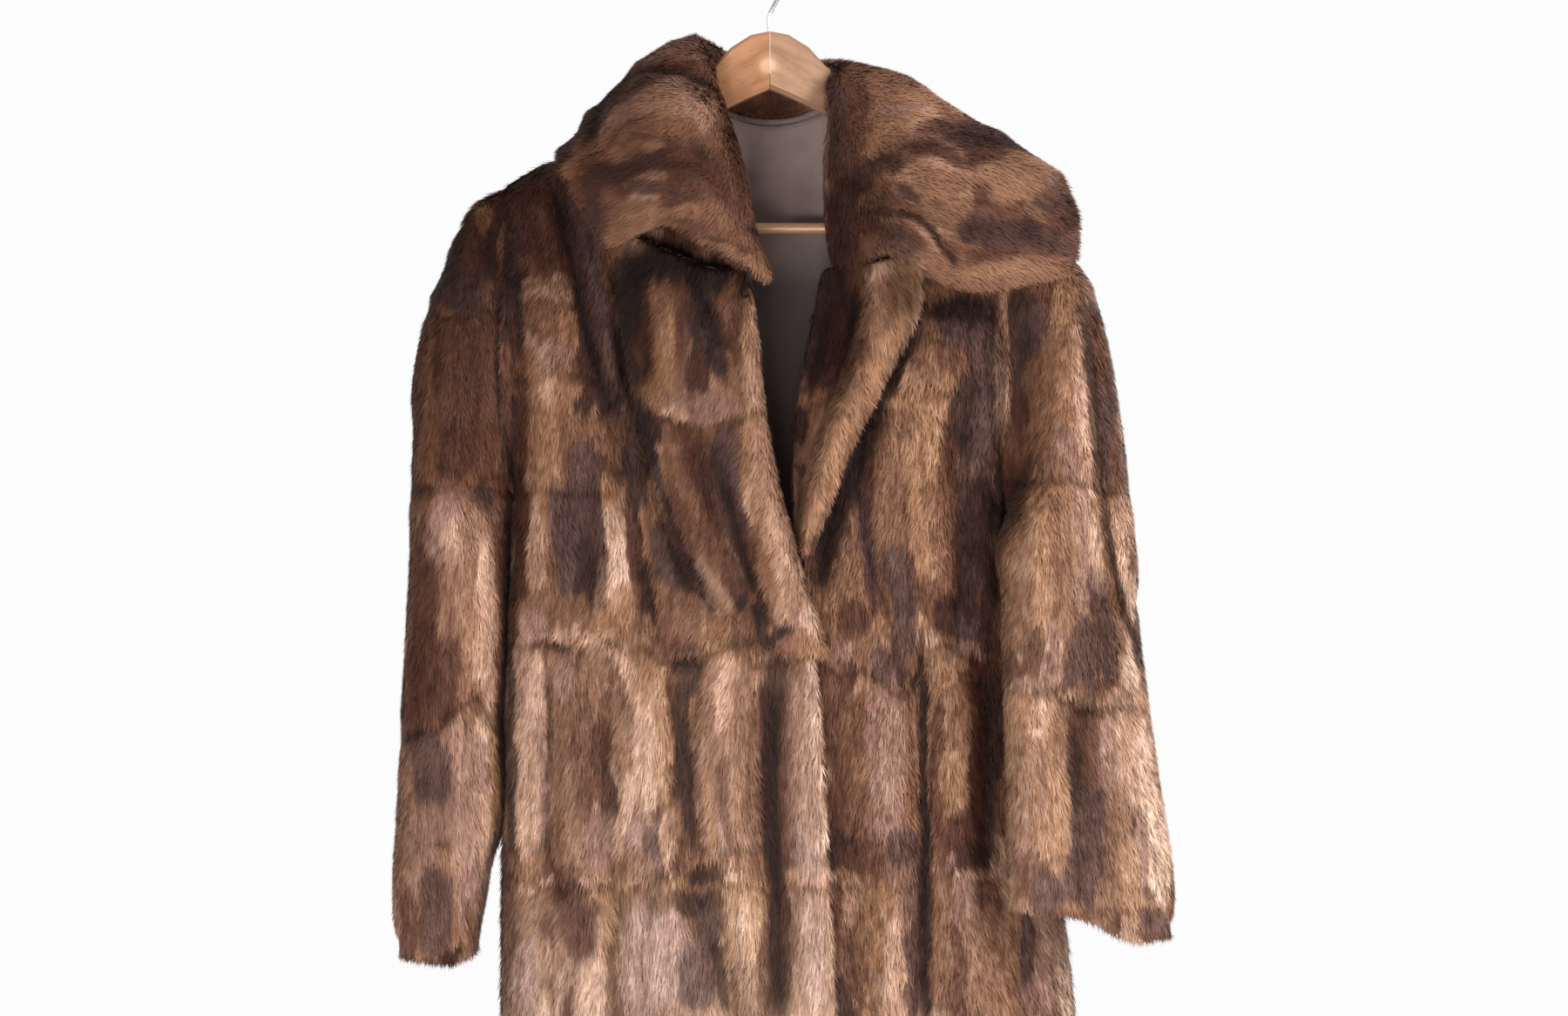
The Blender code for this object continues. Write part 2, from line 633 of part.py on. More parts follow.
def facing_line(row, raised):
    """Across one row of a lapel: from its free edge on the front, out over the roll and back inside."""

    def skin(x, z):
        return front_skin(x, z) - (overlap_lift(x, z) if raised else 0.0)

    z_mid = (row.z_out + row.z_roll) / 2
    near = FUR + LAPEL_LIFT
    quarter = row.x_out + (row.x_roll - row.x_out) * 0.30
    most = row.x_out + (row.x_roll - row.x_out) * 0.72
    roll_skin = skin(row.x_roll, row.z_roll)
    knots = [
        Vector((row.x_out, skin(row.x_out, row.z_out) - near, row.z_out)),
        Vector((quarter, skin(quarter, z_mid) - near - row.puff * 0.30, z_mid)),
        Vector((most, skin(most, z_mid) - near - row.puff * 0.60, row.z_roll)),
        Vector((row.x_roll, roll_skin - row.puff * 0.45, row.z_roll)),
        Vector((row.x_roll + (row.x_in - row.x_roll) * 0.25, roll_skin + row.deep * 0.52, row.z_roll)),
        Vector((row.x_in, roll_skin + row.deep, row.z_roll)),
    ]
    return through(knots, FACING_STRIPS)


def make_lapel(name, table, raised, home):
    points = [facing_line(row, raised) for row in table]
    normals = grid_normals(points, False)
    if normals[2][3].y > 0:
        normals = [[-n for n in line] for line in normals]
    wall(name, points, normals, FUR * FACING_SHARE, PELT, home)


def collar_start(row, edges):
    """The inner end of a collar section: on the back's neck edge, or past a front's edge and inside it."""
    edge = edges[row.seam][row.at]
    if row.seam == "back":
        return [edge - away_from_neck(edge) * FUR + Vector((0, 0, COLLAR_SEAM_GAP))]
    open_way = 1 if row.seam == "right" else -1
    beside = edge + Vector((open_way * (FUR + COLLAR_CLEARANCE), 0, 0))
    return [beside + Vector((row.in_x, row.in_y, 0)), beside]


def make_collar(edges, home):
    """The collar's sections joined from front end to front end. Gives the place for the fur hook under one."""
    points = []
    for row in COLLAR:
        roll = Vector((row.tx, row.ty, row.tz))
        crown = Vector((row.mx, row.my, row.mz))
        free = Vector((row.ex, row.ey, row.ez))
        knots = collar_start(row, edges) + [roll, crown, free]
        points.append(through(knots, COLLAR_STRIPS, COLLAR_CROWD))
    normals = grid_normals(points, False)
    if normals[-3][6].y > 0:
        normals = [[-n for n in line] for line in normals]
    for row, line in zip(COLLAR, normals):
        if row.seam == "back":
            line[0] = -away_from_neck(edges["back"][row.at])
    wall("collar", points, normals, FUR, PELT, home)
    return points[0][HOOK_COLUMN] - normals[0][HOOK_COLUMN] * FUR / 2


def make_lining(points, normals, home):
    """The back's own points, moved in by its wall and a gap, and cut short at the hem and the side seams."""
    rise = (LINING_HEM_Z - HEM_Z) / (points[1][0].z - points[0][0].z)
    inset = FUR + LAYER_GAP
    moved = [[p - n * inset for p, n in zip(row, line)] for row, line in zip(points, normals)]
    hem = [low.lerp(high, rise) for low, high in zip(moved[0], moved[1])]
    rows = [hem] + moved[1:-1]
    keep = slice(LINING_MARGIN, -LINING_MARGIN)
    rows = [row[keep] for row in rows]
    wall("lining_back", rows, [line[keep] for line in normals[:-1]], SATIN, LINING_SATIN, home)


def make_arm(name, outward, home):
    """Half of the hanger, from the ridge to its end, with a socket for the bar."""
    shape = bmesh.new()
    flat = 1 - ARM_CORNER
    frames = []
    for row in HANGER_ARM:
        x = outward * row.x
        tall = (row.top - row.low) / 2
        middle = (row.top + row.low) / 2
        ring = []
        for across, up in (
            (-1, flat), (-flat, 1), (flat, 1), (1, flat),
            (1, -flat), (flat, -1), (-flat, -1), (-1, -flat),
        ):
            trim = row.half * ARM_CORNER
            z = middle + math.copysign(tall - (trim if abs(up) < 1 else 0.0), up)
            ring.append(shape.verts.new((x, row.y + across * row.half, z)))
        frames.append(ring)
    for before, after in zip(frames, frames[1:]):
        for k in range(len(before)):
            j = (k + 1) % len(before)
            shape.faces.new((before[k], before[j], after[j], after[k]))
    shape.faces.new(frames[0])
    shape.faces.new(frames[-1])
    bmesh.ops.recalc_face_normals(shape, faces=shape.faces)
    return finished(name, shape, BEECH, home)


def make_bar(home):
    shape = bmesh.new()
    end = HANGER_ARM[-2]
    reach = SOCKET_END - SEAM_GAP
    bmesh.ops.create_cone(
        shape, cap_ends=True, segments=14, radius1=BAR_RADIUS, radius2=BAR_RADIUS, depth=2 * reach
    )
    turned = Matrix.Rotation(math.radians(90), 4, "Y")
    bmesh.ops.transform(shape, matrix=Matrix.Translation((0, end.y, BAR_Z)) @ turned, verts=shape.verts)
    finished("trouser_bar", shape, BEECH, home)


def cut_socket(arm, outward, cutters):
    """Blind hole in the arm's inner face, a seam gap wider and deeper than the bar."""
    shape = bmesh.new()
    end = HANGER_ARM[-2]
    reach = SOCKET_END
    radius = BAR_RADIUS + SEAM_GAP
    bmesh.ops.create_cone(shape, cap_ends=True, segments=14, radius1=radius, radius2=radius, depth=0.06)
    turned = Matrix.Rotation(math.radians(90), 4, "Y")
    place = Matrix.Translation((outward * (reach - 0.03), end.y, BAR_Z))
    bmesh.ops.transform(shape, matrix=place @ turned, verts=shape.verts)
    cutter = finished(arm.name + "_socket", shape, BEECH, cutters)
    cutter.hide_render = True
    cutter.display_type = "WIRE"
    cut = arm.modifiers.new("bar socket", "BOOLEAN")
    cut.operation = "DIFFERENCE"
    cut.solver = "EXACT"
    cut.object = cutter


def wire(name, points, radius, home):
    """Bent steel wire with closed ends."""
    curve = bpy.data.curves.new(name, "CURVE")
    curve.dimensions = "3D"
    curve.bevel_depth = radius
    curve.bevel_resolution = 2
    curve.use_fill_caps = True
    spline = curve.splines.new("POLY")
    spline.points.add(len(points) - 1)
    for slot, point in zip(spline.points, points):
        slot.co = (*point, 1.0)
    curve.materials.append(material(name, STEEL))
    home.objects.link(bpy.data.objects.new(name, curve))


def make_hook(home):
    """Shank up from the hanger's crest, then round over the bearing point to a short open end."""
    centre = Vector((0, HANGER_ARM[0].y, -HOOK_RADIUS))
    bend = HOOK_RADIUS + WIRE_RADIUS
    foot = HANGER_ARM[0].top + SEAM_GAP
    knots = [Vector((0, centre.y, foot)), Vector((0, centre.y, foot + 0.014))]
    for degrees in range(-50, 211, 20):
        turn = math.radians(degrees)
        knots.append(centre + Vector((bend * math.cos(turn), 0, bend * math.sin(turn))))
    wire("hanger_hook", through(knots, 48), WIRE_RADIUS, home)


def make_fur_hook(rim, home):
    """A bent wire sewn under the collar's front tip, with its hook hanging down."""
    top = rim - Vector((0, 0, FUR_HOOK_RADIUS + SEAM_GAP))
    bends = (
        (-0.0050, 0.000, -0.0020),
        (-0.0010, 0.000, 0.0000),
        (0.0035, 0.000, -0.0035),
        (0.0015, 0.000, -0.0100),
        (-0.0015, 0.000, -0.0160),
        (0.0015, -0.001, -0.0215),
        (0.0060, -0.003, -0.0180),
    )
    knots = [top + Vector(bend) for bend in bends]
    wire("fur_hook", through(knots, 24), FUR_HOOK_RADIUS, home)


def build():
    clear_scene()
    coat = collection_named("fur_coat_on_hanger")
    cutters = collection_named("cutters")
    cutters.hide_render = True
    back_points, back_normals = make_back(coat)
    right_edge = make_front("front_right", RIGHT_EDGE, True, coat)
    left_edge = make_front("front_left", LEFT_EDGE, False, coat)
    make_sleeve("sleeve_right", "cuff_right", RIGHT_SLEEVE, -1, coat)
    make_sleeve("sleeve_left", "cuff_left", LEFT_SLEEVE, 1, coat)
    make_lapel("lapel_right", RIGHT_LAPEL, True, coat)
    make_lapel("lapel_left", LEFT_LAPEL, False, coat)
    neck = slice(SHOULDER_STRIPS, SHOULDER_STRIPS + NECK_STRIPS + 1)
    edges = {"right": right_edge[HEM_ROWS:], "left": left_edge[HEM_ROWS:], "back": back_points[-1][neck]}
    collar_rim = make_collar(edges, coat)
    make_lining(back_points, back_normals, coat)
    for name, outward in (("hanger_arm_right", -1), ("hanger_arm_left", 1)):
        cut_socket(make_arm(name, outward, coat), outward, cutters)
    make_bar(coat)
    make_hook(coat)
    make_fur_hook(collar_rim, coat)
    # The sections above are measured from the shoulder seams; this puts the hook's bearing point at the origin.
    for item in bpy.data.objects:
        item.location.y = -HANGER_ARM[0].y


build()
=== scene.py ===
# %% [markdown]
# # A patchwork fur coat on a wooden hanger
# The packed solids already have the right sizes: walls of cloth, a wooden hanger, a wire hook. This
# lesson gives them their looks. Each fur wall becomes a soft, creased shell, and short hairs are planted
# on it one by one. First the packed model is loaded. It stays where it is, and all else is built on it.

# %% Load the packed model
import math
from collections import namedtuple

import bmesh
import bpy
import mathutils
import numpy as np
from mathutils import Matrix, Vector


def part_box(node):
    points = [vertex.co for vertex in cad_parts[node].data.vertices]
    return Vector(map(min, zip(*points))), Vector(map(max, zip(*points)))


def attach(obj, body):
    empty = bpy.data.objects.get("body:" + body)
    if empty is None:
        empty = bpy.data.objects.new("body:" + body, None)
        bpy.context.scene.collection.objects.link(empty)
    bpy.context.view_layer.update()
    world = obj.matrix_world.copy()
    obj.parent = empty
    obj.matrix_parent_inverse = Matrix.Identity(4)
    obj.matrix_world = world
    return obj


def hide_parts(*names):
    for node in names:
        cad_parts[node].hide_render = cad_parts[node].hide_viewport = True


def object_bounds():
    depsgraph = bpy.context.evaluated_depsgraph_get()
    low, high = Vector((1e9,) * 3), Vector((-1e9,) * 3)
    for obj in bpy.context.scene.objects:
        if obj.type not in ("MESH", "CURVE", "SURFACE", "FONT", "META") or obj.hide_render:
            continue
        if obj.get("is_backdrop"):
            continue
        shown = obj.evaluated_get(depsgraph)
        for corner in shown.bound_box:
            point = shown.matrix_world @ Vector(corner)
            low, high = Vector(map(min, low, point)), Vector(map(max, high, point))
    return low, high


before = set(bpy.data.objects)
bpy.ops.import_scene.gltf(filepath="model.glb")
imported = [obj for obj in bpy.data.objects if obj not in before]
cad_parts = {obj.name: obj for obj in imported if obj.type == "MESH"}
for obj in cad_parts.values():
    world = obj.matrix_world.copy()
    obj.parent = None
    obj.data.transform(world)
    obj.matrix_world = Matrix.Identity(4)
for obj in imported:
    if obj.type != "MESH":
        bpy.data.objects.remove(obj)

cad_box = [list(corner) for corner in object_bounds()]
print("nodes:", len(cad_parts), "box:", [round(b - a, 3) for a, b in zip(*cad_box)])


def add_object(name, data):
    """Puts a mesh, curve, light or camera into the scene."""
    made = bpy.data.objects.new(name, data)
    bpy.context.scene.collection.objects.link(made)
    return made


# %% [markdown]
# ## A drawing sheet over the front
# A furrier marks patches and folds on a sheet hung in front of the garment. Ours has steps of 0.7 mm,
# counted from the hanger's crest, and is drawn as the coat looks from 2.2 m away. One function says where
# any point of the coat is seen on that sheet. Another goes straight through the coat, for its back.

# %% The sheet
STEP = 0.0007
SHEET_WIDE = 1800
SHEET_Y = 0.013
EYE = Vector((0.0112, -2.187, -0.4551))
CREST_ACROSS = 884
CREST_DOWN = 40
CREST_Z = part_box("hanger_arm_right")[1].z


def sheet_steps(x, z):
    """Sheet steps across and down for places in metres."""
    return np.stack([CREST_ACROSS + x / STEP, CREST_DOWN + (CREST_Z - z) / STEP], axis=1)


def on_sheet(points):
    """Where points are seen on the sheet."""
    reach = (SHEET_Y - EYE.y) / (points[:, 1] - EYE.y)
    x = EYE.x + (points[:, 0] - EYE.x) * reach
    z = EYE.z + (points[:, 2] - EYE.z) * reach
    return sheet_steps(x, z)


def straight_on(points):
    """Where points fall on the sheet when they go straight to it."""
    return sheet_steps(points[:, 0], points[:, 2])


def ease(low, high, value):
    """0 at low and 1 at high, with a soft start and end."""
    t = np.clip((value - low) / (high - low), 0.0, 1.0)
    return t * t * (3 - 2 * t)


print("sheet place of the hook:", on_sheet(np.zeros((1, 3))).round())

# %% [markdown]
# ## Randomness that never changes
# Fur is uneven at every scale. A lattice of random numbers, read with soft steps between its knots,
# gives smooth unevenness. It is seeded, so the coat looks the same each time the script runs. Dividing
# a point by a long step down the coat and a short one across it gives streaks.


# %% A lattice of soft random values
class Lattice:
    SIZE = 48

    def __init__(self, seed):
        self.values = np.random.default_rng(seed).random((self.SIZE,) * 3).astype(np.float32)

    def at(self, places):
        """Values from 0 to 1 at an array of places, one lattice step being 1."""
        base = np.floor(places).astype(np.int64)
        t = (places - base).astype(np.float32)
        t = t * t * (3 - 2 * t)
        total = np.zeros(len(places), np.float32)
        for corner in range(8):
            pick = np.array([corner & 1, corner >> 1 & 1, corner >> 2 & 1])
            weight = np.where(pick, t, 1 - t).prod(axis=1)
            x, y, z = ((base + pick) % self.SIZE).T
            total += weight * self.values[x, y, z]
        return total


lattice = Lattice(7)
other_lattice = Lattice(19)
TURNS = 2
TURN_SHIFT = 11.3
TURN_WEIGHT = 0.55
CONTRAST = 1.5


def uneven(source, points, scale):
    """Soft random values at points, scale being metres a step, with a finer and weaker copy on top."""
    total = 0.0
    weight = 1.0
    full = 0.0
    for turn in range(TURNS):
        total = total + weight * source.at(points / np.array(scale) * 2**turn + TURN_SHIFT * turn)
        full += weight
        weight *= TURN_WEIGHT
    return np.clip((total / full - 0.5) * CONTRAST + 0.5, 0, 1)


sample = np.random.default_rng(1).random((500, 3))
print("lattice middle:", round(float(uneven(lattice, sample, 0.1).mean()), 2))

# %% [markdown]
# ## The colours of the pelts
# Muskrat-like fur runs from pale honey to an almost black brown, with plum-grey underfur where it is
# brushed open. These names are used all through the chart.


# %% Named tones
def linear_level(level):
    """Scene light for one display level from 0 to 255, by the usual display curve."""
    if level < 11:
        return level / 255 / 12.92
    return ((level / 255 + 0.055) / 1.055) ** 2.4


def linear(*levels):
    """Scene colour for three display levels."""
    return np.array([linear_level(level) for level in levels])


# The darkest tones also serve below as painted shade, and the palest as painted highlights.
TONES = {
    "cream": linear(214, 178, 154),
    "pale": linear(190, 150, 126),
    "rose": linear(158, 121, 106),
    "honey": linear(162, 121, 92),
    "tan": linear(136, 98, 76),
    "brown": linear(104, 69, 54),
    "russet": linear(80, 46, 36),
    "plum": linear(88, 64, 61),
    "umber": linear(54, 35, 31),
    "soot": linear(34, 16, 13),
}
print("tones:", ", ".join(TONES))

# %% [markdown]
# ## The chart of patches
# Each entry is one patch of colour on the front: its place on the sheet, how far it reaches across and
# down, how many degrees it leans if it does, and its tone. Later patches lie over earlier ones. Many dark
# patches are painted shade, such as the shadow under the collar and the hollows beside the lapels, and
# pale ones on ridges and down the lit outer edge of the left sleeve are painted highlights.

# %% Patches by piece
Patch = namedtuple("Patch", "across down wide tall lean tone")
# Dark patches under the collar and in hollows are painted shade; pale ones on ridges and rolls are painted
# highlights.
CHART = {
    "sleeve_right": """
    520 290 40 55 umber|556 248 8 22 honey|545 300 12 40 russet|512 320 14 12 umber|530 335 26 12 plum
    492 420 9 80 tan|486 380 5 50 brown|512 430 12 75 brown|535 440 16 90 russet|560 420 11 90 brown
    577 430 6 90 umber|492 520 12 34 tan|525 510 22 34 russet|556 510 14 34 brown|475 640 8 150 brown
    490 720 14 100 russet|512 600 20 46 rose|522 650 8 50 -6 pale|545 640 20 60 tan|556 720 13 110 pale
    520 700 12 70 tan|512 770 18 50 russet|480 790 18 50 russet|540 800 14 30 tan|556 848 14 26 cream
    566 890 7 70 honey|532 890 24 60 rose|495 880 22 40 plum|463 950 8 110 tan|485 980 16 60 rose
    500 1040 20 50 plum|540 1000 20 70 rose|556 960 8 60 pale|470 1060 10 40 brown|545 1065 8 22 tan
    480 1098 44 6 russet|516 1091 13 8 soot""",
    "front_right": """
    600 240 28 44 russet|575 300 12 70 umber|560 240 7 20 honey|632 260 16 46 brown|592 350 9 60 umber
    640 300 14 16 brown|662 235 8 44 -12 plum|684 310 11 60 -12 plum|700 385 12 50 -12 plum
    630 332 28 20 pale|628 365 28 24 tan|652 380 12 22 honey|612 386 6 10 pale|625 412 9 8 rose
    640 400 16 12 rose|592 410 12 60 brown|645 452 24 30 honey|628 436 10 12 pale|632 510 16 40 honey
    668 462 12 16 umber|655 500 16 34 tan|592 500 14 50 russet|590 545 12 16 umber|690 490 22 26 tan
    612 570 24 14 russet|700 470 14 14 umber|720 505 22 30 tan|668 560 24 56 plum|656 630 18 66 -4 plum
    672 655 14 46 umber|640 600 9 50 -8 plum|617 615 10 56 -3 pale|622 570 8 22 honey|600 640 10 70 russet
    706 610 12 52 2 pale|712 655 10 34 cream|700 570 9 26 honey|732 560 14 70 -8 umber
    728 640 9 60 -6 brown|748 620 9 50 -6 honey|742 680 10 36 umber|765 650 14 60 -10 plum
    790 650 14 60 -14 umber|640 700 44 22 tan|612 712 18 18 rose|652 722 18 12 pale|600 745 10 18 pale
    690 738 22 10 pale|735 725 24 22 tan|708 700 16 30 honey|760 700 10 34 tan|795 700 26 30 tan
    825 720 18 20 honey|760 735 16 8 brown|650 740 10 5 umber|588 700 8 40 russet|588 860 7 120 umber
    612 850 17 106 rose|606 900 12 80 pale|618 780 10 40 pale|644 850 12 100 tan|650 780 14 30 rose
    672 800 18 46 tan|690 770 18 22 tan|668 880 12 70 brown|692 858 14 34 russet|698 910 10 26 umber
    684 900 18 12 brown|724 770 10 30 -14 pale|740 800 14 26 -14 honey|722 850 16 40 tan
    742 860 14 70 pale|760 840 10 80 honey|752 780 12 30 honey|776 800 10 40 brown|784 850 12 60 umber
    790 905 10 60 -4 umber|793 757 22 9 -3 soot|790 780 14 18 umber|812 790 10 36 tan|824 860 14 70 -4 tan
    830 800 8 34 pale|816 930 8 50 -4 honey|838 920 10 60 -6 brown|852 860 13 110 tan|866 900 8 110 brown
    885 860 14 110 umber|882 850 8 70 soot|890 960 14 50 umber|904 870 8 110 brown|920 860 10 100 tan
    934 860 12 110 pale|936 790 10 50 cream|938 930 8 60 cream|922 960 10 40 plum|655 960 24 40 tan
    690 960 16 36 rose|716 940 8 50 8 pale|740 965 20 30 rose|752 962 10 18 plum|768 955 8 36 pale
    725 990 26 14 tan|615 1008 18 6 pale|682 1010 18 5 rose|650 1020 14 8 umber|776 1008 16 8 honey
    808 998 26 9 umber|838 1000 8 6 pale|588 1080 8 70 brown|612 1048 20 22 tan|604 1120 16 40 rose
    640 1060 22 18 brown|640 1108 18 34 tan|628 1090 10 10 honey|668 1062 18 34 4 russet
    700 1080 12 50 10 honey|682 1140 14 34 8 pale|708 1150 8 30 brown|730 1090 22 60 rose
    770 1110 30 50 rose|760 1060 26 20 rose|792 1032 22 12 -8 umber|812 1050 14 36 -6 plum
    800 1120 22 40 plum|828 1110 6 50 -8 umber|846 1050 14 40 -6 honey|860 1110 14 50 -4 tan
    862 1060 10 50 honey|878 1110 8 60 brown|896 1080 14 80 umber|898 1050 8 40 russet|918 1060 8 46 brown
    934 1050 10 40 honey|926 1110 10 44 tan|946 1120 9 50 honey|938 1150 8 30 pale""",
    "lapel_right": """
    780 300 60 14 soot|725 340 18 50 umber|722 410 12 50 -10 umber|762 350 14 50 tan|768 410 14 50 honey
    784 360 8 60 brown|806 370 16 56 -4 umber|826 410 12 30 -14 umber|800 430 14 24 russet
    836 340 10 34 tan|846 380 8 40 -4 brown|862 390 10 64 honey|868 350 7 30 pale|866 420 8 40 pale
    846 430 12 20 tan|756 450 10 30 honey|800 462 36 18 rose|776 474 16 8 pale|826 470 20 12 rose
    790 500 24 8 tan|838 512 24 26 plum|800 530 16 34 -10 brown|772 520 10 36 -14 tan
    784 590 12 50 -18 brown|812 560 12 40 -10 russet|845 570 18 50 -14 plum|826 620 12 50 -20 russet
    808 610 7 50 -18 tan|858 640 7 50 -18 umber|840 660 12 30 -18 brown|862 520 9 60 honey
    868 560 7 40 cream|882 600 12 46 -14 honey|892 620 8 40 -14 pale|880 660 12 30 -10 tan
    905 660 12 36 -16 cream|918 695 14 24 -10 rose|900 700 10 20 pale|928 705 8 16 cream
    872 700 9 13 umber|890 722 22 8 4 umber|850 690 8 12 umber""",
    "collar": """
    775 60 40 16 8 tan|800 52 20 8 rose|745 80 22 14 24 brown|812 78 10 20 brown|700 112 26 14 30 russet
    672 148 18 18 30 umber|760 72 22 6 14 russet|655 172 8 14 umber|784 108 30 22 pale
    756 118 30 18 10 honey|810 125 14 22 pale|720 146 34 14 20 tan|770 145 34 12 tan|826 150 8 30 tan
    680 172 20 14 24 tan|658 192 8 12 honey|760 182 48 13 4 umber|700 196 36 16 8 umber|790 178 18 8 brown
    680 240 20 40 8 umber|700 262 10 24 8 plum|664 226 10 26 brown|745 208 26 8 plum
    826 200 18 30 -6 russet|842 190 7 40 brown|800 212 22 10 brown|842 236 12 26 -8 brown
    735 228 26 8 4 tan|745 244 32 12 4 honey|714 268 14 18 10 honey|708 292 12 10 tan|790 240 18 10 honey
    794 240 5 8 tan|770 258 16 6 tan|824 252 22 8 -8 tan|800 262 18 6 brown|846 272 20 9 -14 tan
    850 292 24 8 -8 honey|870 306 13 20 honey|876 318 9 16 pale|856 286 8 6 brown|860 262 8 10 umber
    962 110 12 46 plum|975 84 18 12 brown|962 170 12 40 brown|968 196 9 20 russet|985 150 16 20 8 brown
    1020 100 34 18 -14 tan|1060 112 34 12 -20 honey|1030 124 30 9 8 rose|1090 132 22 8 -20 tan
    1010 150 20 12 14 honey|1030 162 20 8 14 tan|1070 146 24 8 8 brown|1110 150 46 13 -8 umber
    1150 158 38 12 -20 umber|1075 174 36 12 -4 russet|1110 180 20 8 umber|1185 172 16 8 -24 brown
    1010 190 34 12 6 umber|985 208 26 14 4 umber|985 180 14 8 brown|1165 198 48 17 -4 honey
    1130 192 26 9 4 honey|1090 206 34 10 6 tan|1160 216 30 10 honey|1070 216 20 8 6 honey
    1196 190 18 8 -14 pale|1020 214 16 6 4 tan|1042 216 14 7 umber|1022 228 22 8 brown
    1082 232 20 7 -10 tan|1215 214 18 15 -30 brown|1200 232 20 8 plum|1228 240 10 18 umber
    1140 236 30 10 brown|1120 256 26 18 plum|1106 262 14 14 umber|1182 262 20 22 umber|1174 258 9 16 soot
    1204 270 10 20 umber|1150 272 18 12 plum|1130 288 28 9 russet|1222 280 14 24 plum
    1092 284 9 16 -30 brown|1088 244 10 10 -30 tan|1150 308 66 10 3 honey|1090 322 32 13 tan
    1200 300 26 7 6 tan|1110 334 40 6 honey|1224 304 12 8 brown|1062 320 10 18 tan|1070 300 8 16 -30 tan
    1020 262 26 12 -8 brown|990 256 20 14 russet|1050 276 12 18 -30 brown|965 240 18 24 umber
    960 290 22 34 umber|985 300 12 16 brown|1000 240 26 6 umber""",
    "lapel_left": """
    955 330 24 90 umber|940 400 20 60 umber|965 390 16 50 10 russet|958 440 26 20 16 brown
    930 455 22 12 20 tan|985 340 8 60 4 umber|975 300 10 30 brown|990 300 12 34 tan|1006 292 10 12 rose
    1030 292 12 10 pale|1020 326 28 28 8 pale|1022 336 26 24 14 tan|1040 310 14 20 10 honey
    1010 360 20 36 16 tan|1026 370 12 30 22 honey|1000 410 16 30 24 honey|990 392 10 20 14 brown
    976 440 16 28 24 tan|960 480 20 26 20 honey|948 500 14 26 20 tan|940 550 14 44 14 honey
    930 590 12 40 14 honey|916 640 10 30 14 tan|952 520 7 40 18 honey|920 480 10 20 umber
    905 500 10 40 soot""",
    "front_left": """
    1060 352 30 12 umber|1110 356 40 16 umber|1030 405 14 30 20 umber|1008 430 14 20 brown
    1062 412 16 30 tan|1088 400 14 24 brown|1100 375 20 20 plum|1122 410 16 50 plum|1138 420 7 70 umber
    1112 470 22 44 umber|1130 500 12 60 plum|1122 600 20 70 umber|1112 660 12 30 plum|1000 460 20 26 rose
    1050 465 26 34 honey|1030 500 24 40 tan|1000 520 12 50 4 tan|1065 530 24 46 honey|1040 540 14 40 honey
    1086 530 10 60 brown|1072 590 20 44 tan|1056 600 14 40 honey|1020 570 20 40 tan|985 560 16 50 8 brown
    968 620 16 40 10 tan|980 650 18 46 6 tan|996 620 9 60 -6 plum|950 680 10 50 6 tan
    1030 660 16 44 -10 plum|1036 710 16 46 -6 plum|1022 760 22 22 plum|1010 700 10 40 tan
    1064 650 14 34 -10 honey|1084 650 12 44 tan|1068 690 12 30 brown|1092 704 18 20 umber
    1114 705 14 26 -14 plum|1112 740 24 10 rose|1136 700 8 50 umber|976 710 16 30 russet
    966 740 14 16 -20 rose|990 740 12 20 tan|955 765 16 14 -10 brown|1042 780 14 9 soot|1072 742 9 14 pale
    1002 792 30 8 tan|958 830 12 44 brown|972 850 12 46 tan|990 850 12 60 tan|1022 870 26 90 rose
    1046 880 10 100 tan|964 920 12 40 brown|984 925 16 34 tan|988 880 12 14 honey|960 970 12 30 umber
    990 985 26 20 brown|1036 970 18 24 plum|979 959 9 3 3 soot|1060 880 6 150 umber|1062 1060 7 120 umber
    1092 772 18 16 honey|1120 782 20 22 russet|1092 800 18 16 tan|1094 870 16 66 honey|1100 830 20 24 tan
    1076 880 7 90 brown|1132 880 13 110 umber|1118 900 8 90 russet|1102 958 18 22 russet
    1120 975 26 10 umber|1084 990 14 8 rose|1120 996 24 6 pale|1084 1060 12 60 tan|1106 1040 14 44 rose
    1132 1030 16 30 brown|1100 1110 8 50 brown|1126 1100 18 60 tan|1160 1090 22 60 tan
    1190 1100 24 60 rose|1176 1080 8 50 plum|1222 1110 12 60 cream|1206 1070 14 30 pale
    962 1050 12 40 brown|980 1040 14 34 pale|975 1100 14 40 -4 brown|990 1090 10 40 tan
    1010 1060 18 50 honey|1030 1110 14 60 pale|1018 1150 18 30 pale|966 1140 10 34 -20 umber
    1046 1110 9 60 plum|1000 1150 10 24 honey""",
